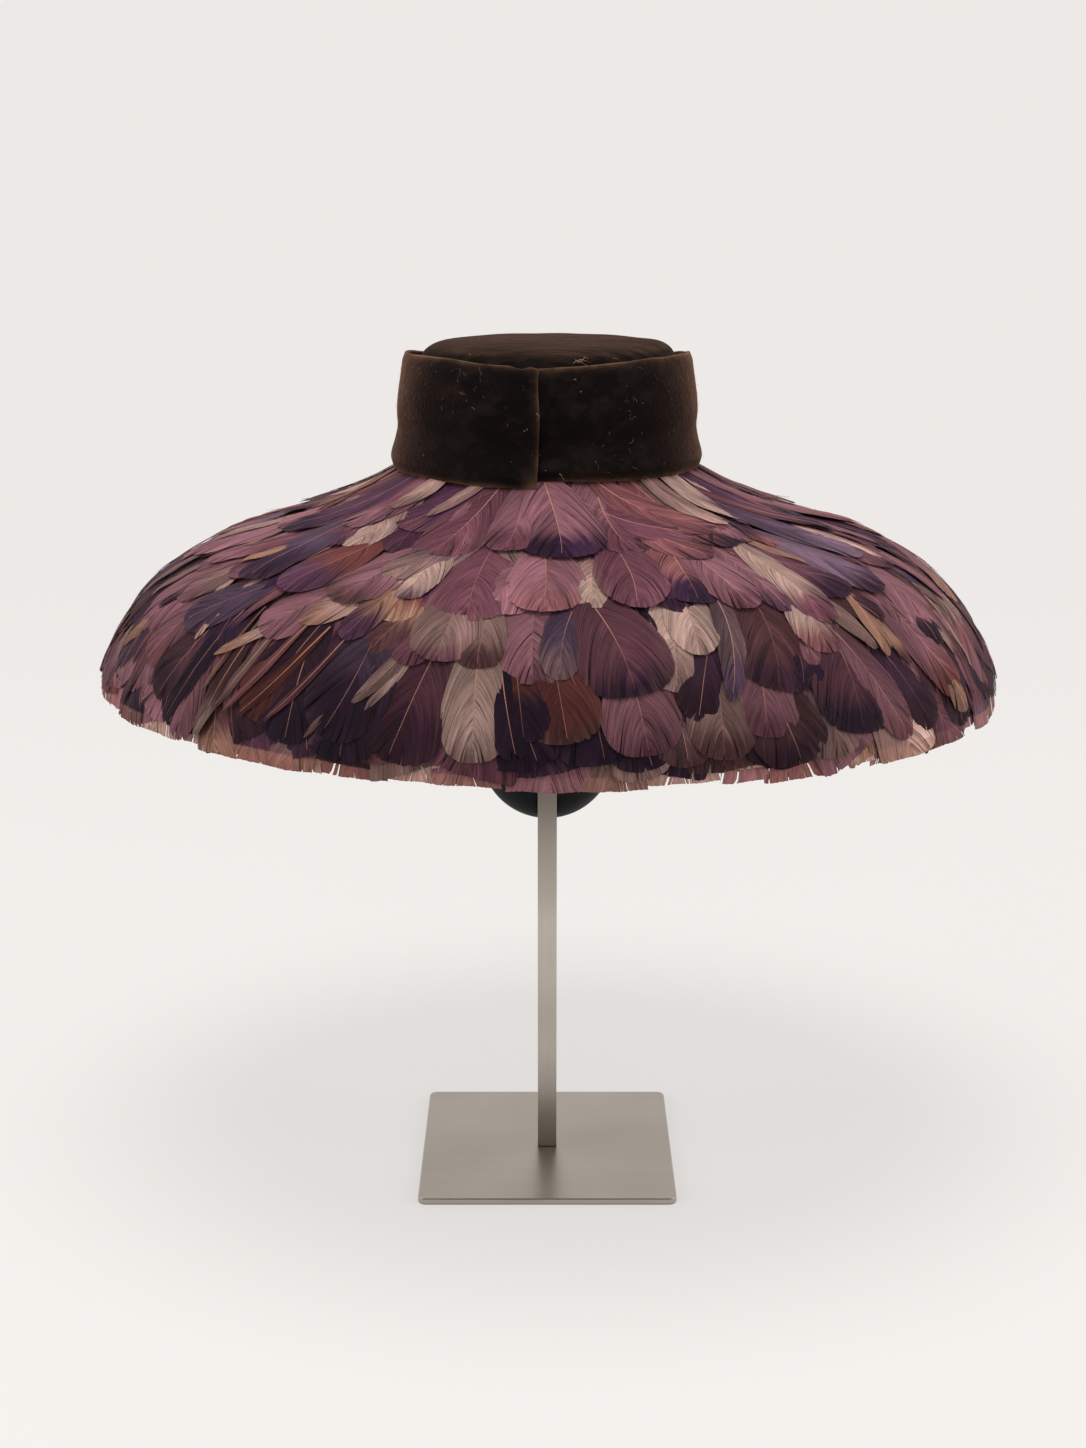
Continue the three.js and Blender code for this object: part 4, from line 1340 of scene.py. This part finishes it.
def add_stage():
    """A pale floor that curves up into a round backdrop, the same from every side."""
    bend = STAGE_RADIUS - STAGE_FLAT
    turn = np.linspace(0, math.pi / 2, 20)
    out = np.concatenate([STAGE_RINGS, STAGE_FLAT + bend * np.sin(turn), [STAGE_RADIUS]])
    up = np.concatenate([np.zeros(len(STAGE_RINGS)), bend * (1 - np.cos(turn)), [STAGE_HEIGHT]])
    angle = np.radians(np.arange(0, 360, 3))
    grid = turned_points(out[:, None], angle, up[:, None] - STAGE_DROP) / MM
    faces = grid_faces(len(out), len(angle), closed_columns=True)
    make_mesh("stage_floor", grid.reshape(-1, 3), faces, stage_look())


def add_camera():
    """The camera that the photograph was taken with."""
    data = bpy.data.cameras.new("photo_camera")
    data.sensor_width = SENSOR
    data.lens = FOCAL_PIXELS / PHOTO_HEIGHT * SENSOR
    data.clip_end = 50
    camera = bpy.data.objects.new("photo_camera", data)
    camera.location = EYE * MM
    camera.rotation_euler = (math.pi / 2 - PITCH, 0, 0)
    bpy.context.scene.collection.objects.link(camera)
    bpy.context.scene.camera = camera


def add_lamp(name, place, size, power):
    """A round soft lamp that points at the hat."""
    data = bpy.data.lights.new(name, "AREA")
    data.shape, data.size, data.energy, data.color = "DISK", size, power, LAMP_COLOUR
    light = bpy.data.objects.new(name, data)
    light.location = place
    direction = np.array(LAMP_AIM) - np.array(place)
    light.rotation_euler = Vector(direction).to_track_quat("-Z", "Y").to_euler()
    bpy.context.scene.collection.objects.link(light)


def add_studio():
    """An even pale sky and the lamps."""
    world = bpy.data.worlds.new("studio")
    world.use_nodes = True
    background = world.node_tree.nodes["Background"]
    background.inputs["Color"].default_value = SKY_COLOUR
    background.inputs["Strength"].default_value = SKY_STRENGTH
    bpy.context.scene.world = world
    for lamp in LAMPS:
        add_lamp(**lamp)
    bpy.context.scene.view_settings.view_transform = "Standard"


add_camera()
add_studio()
add_stage()
dress_steel("stand_plate", "plate_steel", 0, PLATE_PAINTED_SHADOW)
dress_steel("stand_post", "post_steel", 2, POST_PAINTED_SHADE)
add_pad()
add_crown(velvet_look("crown_pile", (6, 5, 5), (14, 10, 9), (46, 34, 29), (0.5, 2.6, 1.6), 0.35))
add_band(velvet_look("band_pile", (5, 4, 5), (10, 7, 7), (36, 26, 22), (0.7, 0.7, 1.0), 0.86))
add_threads()
add_foundation()
add_feathers()
add_wisps()
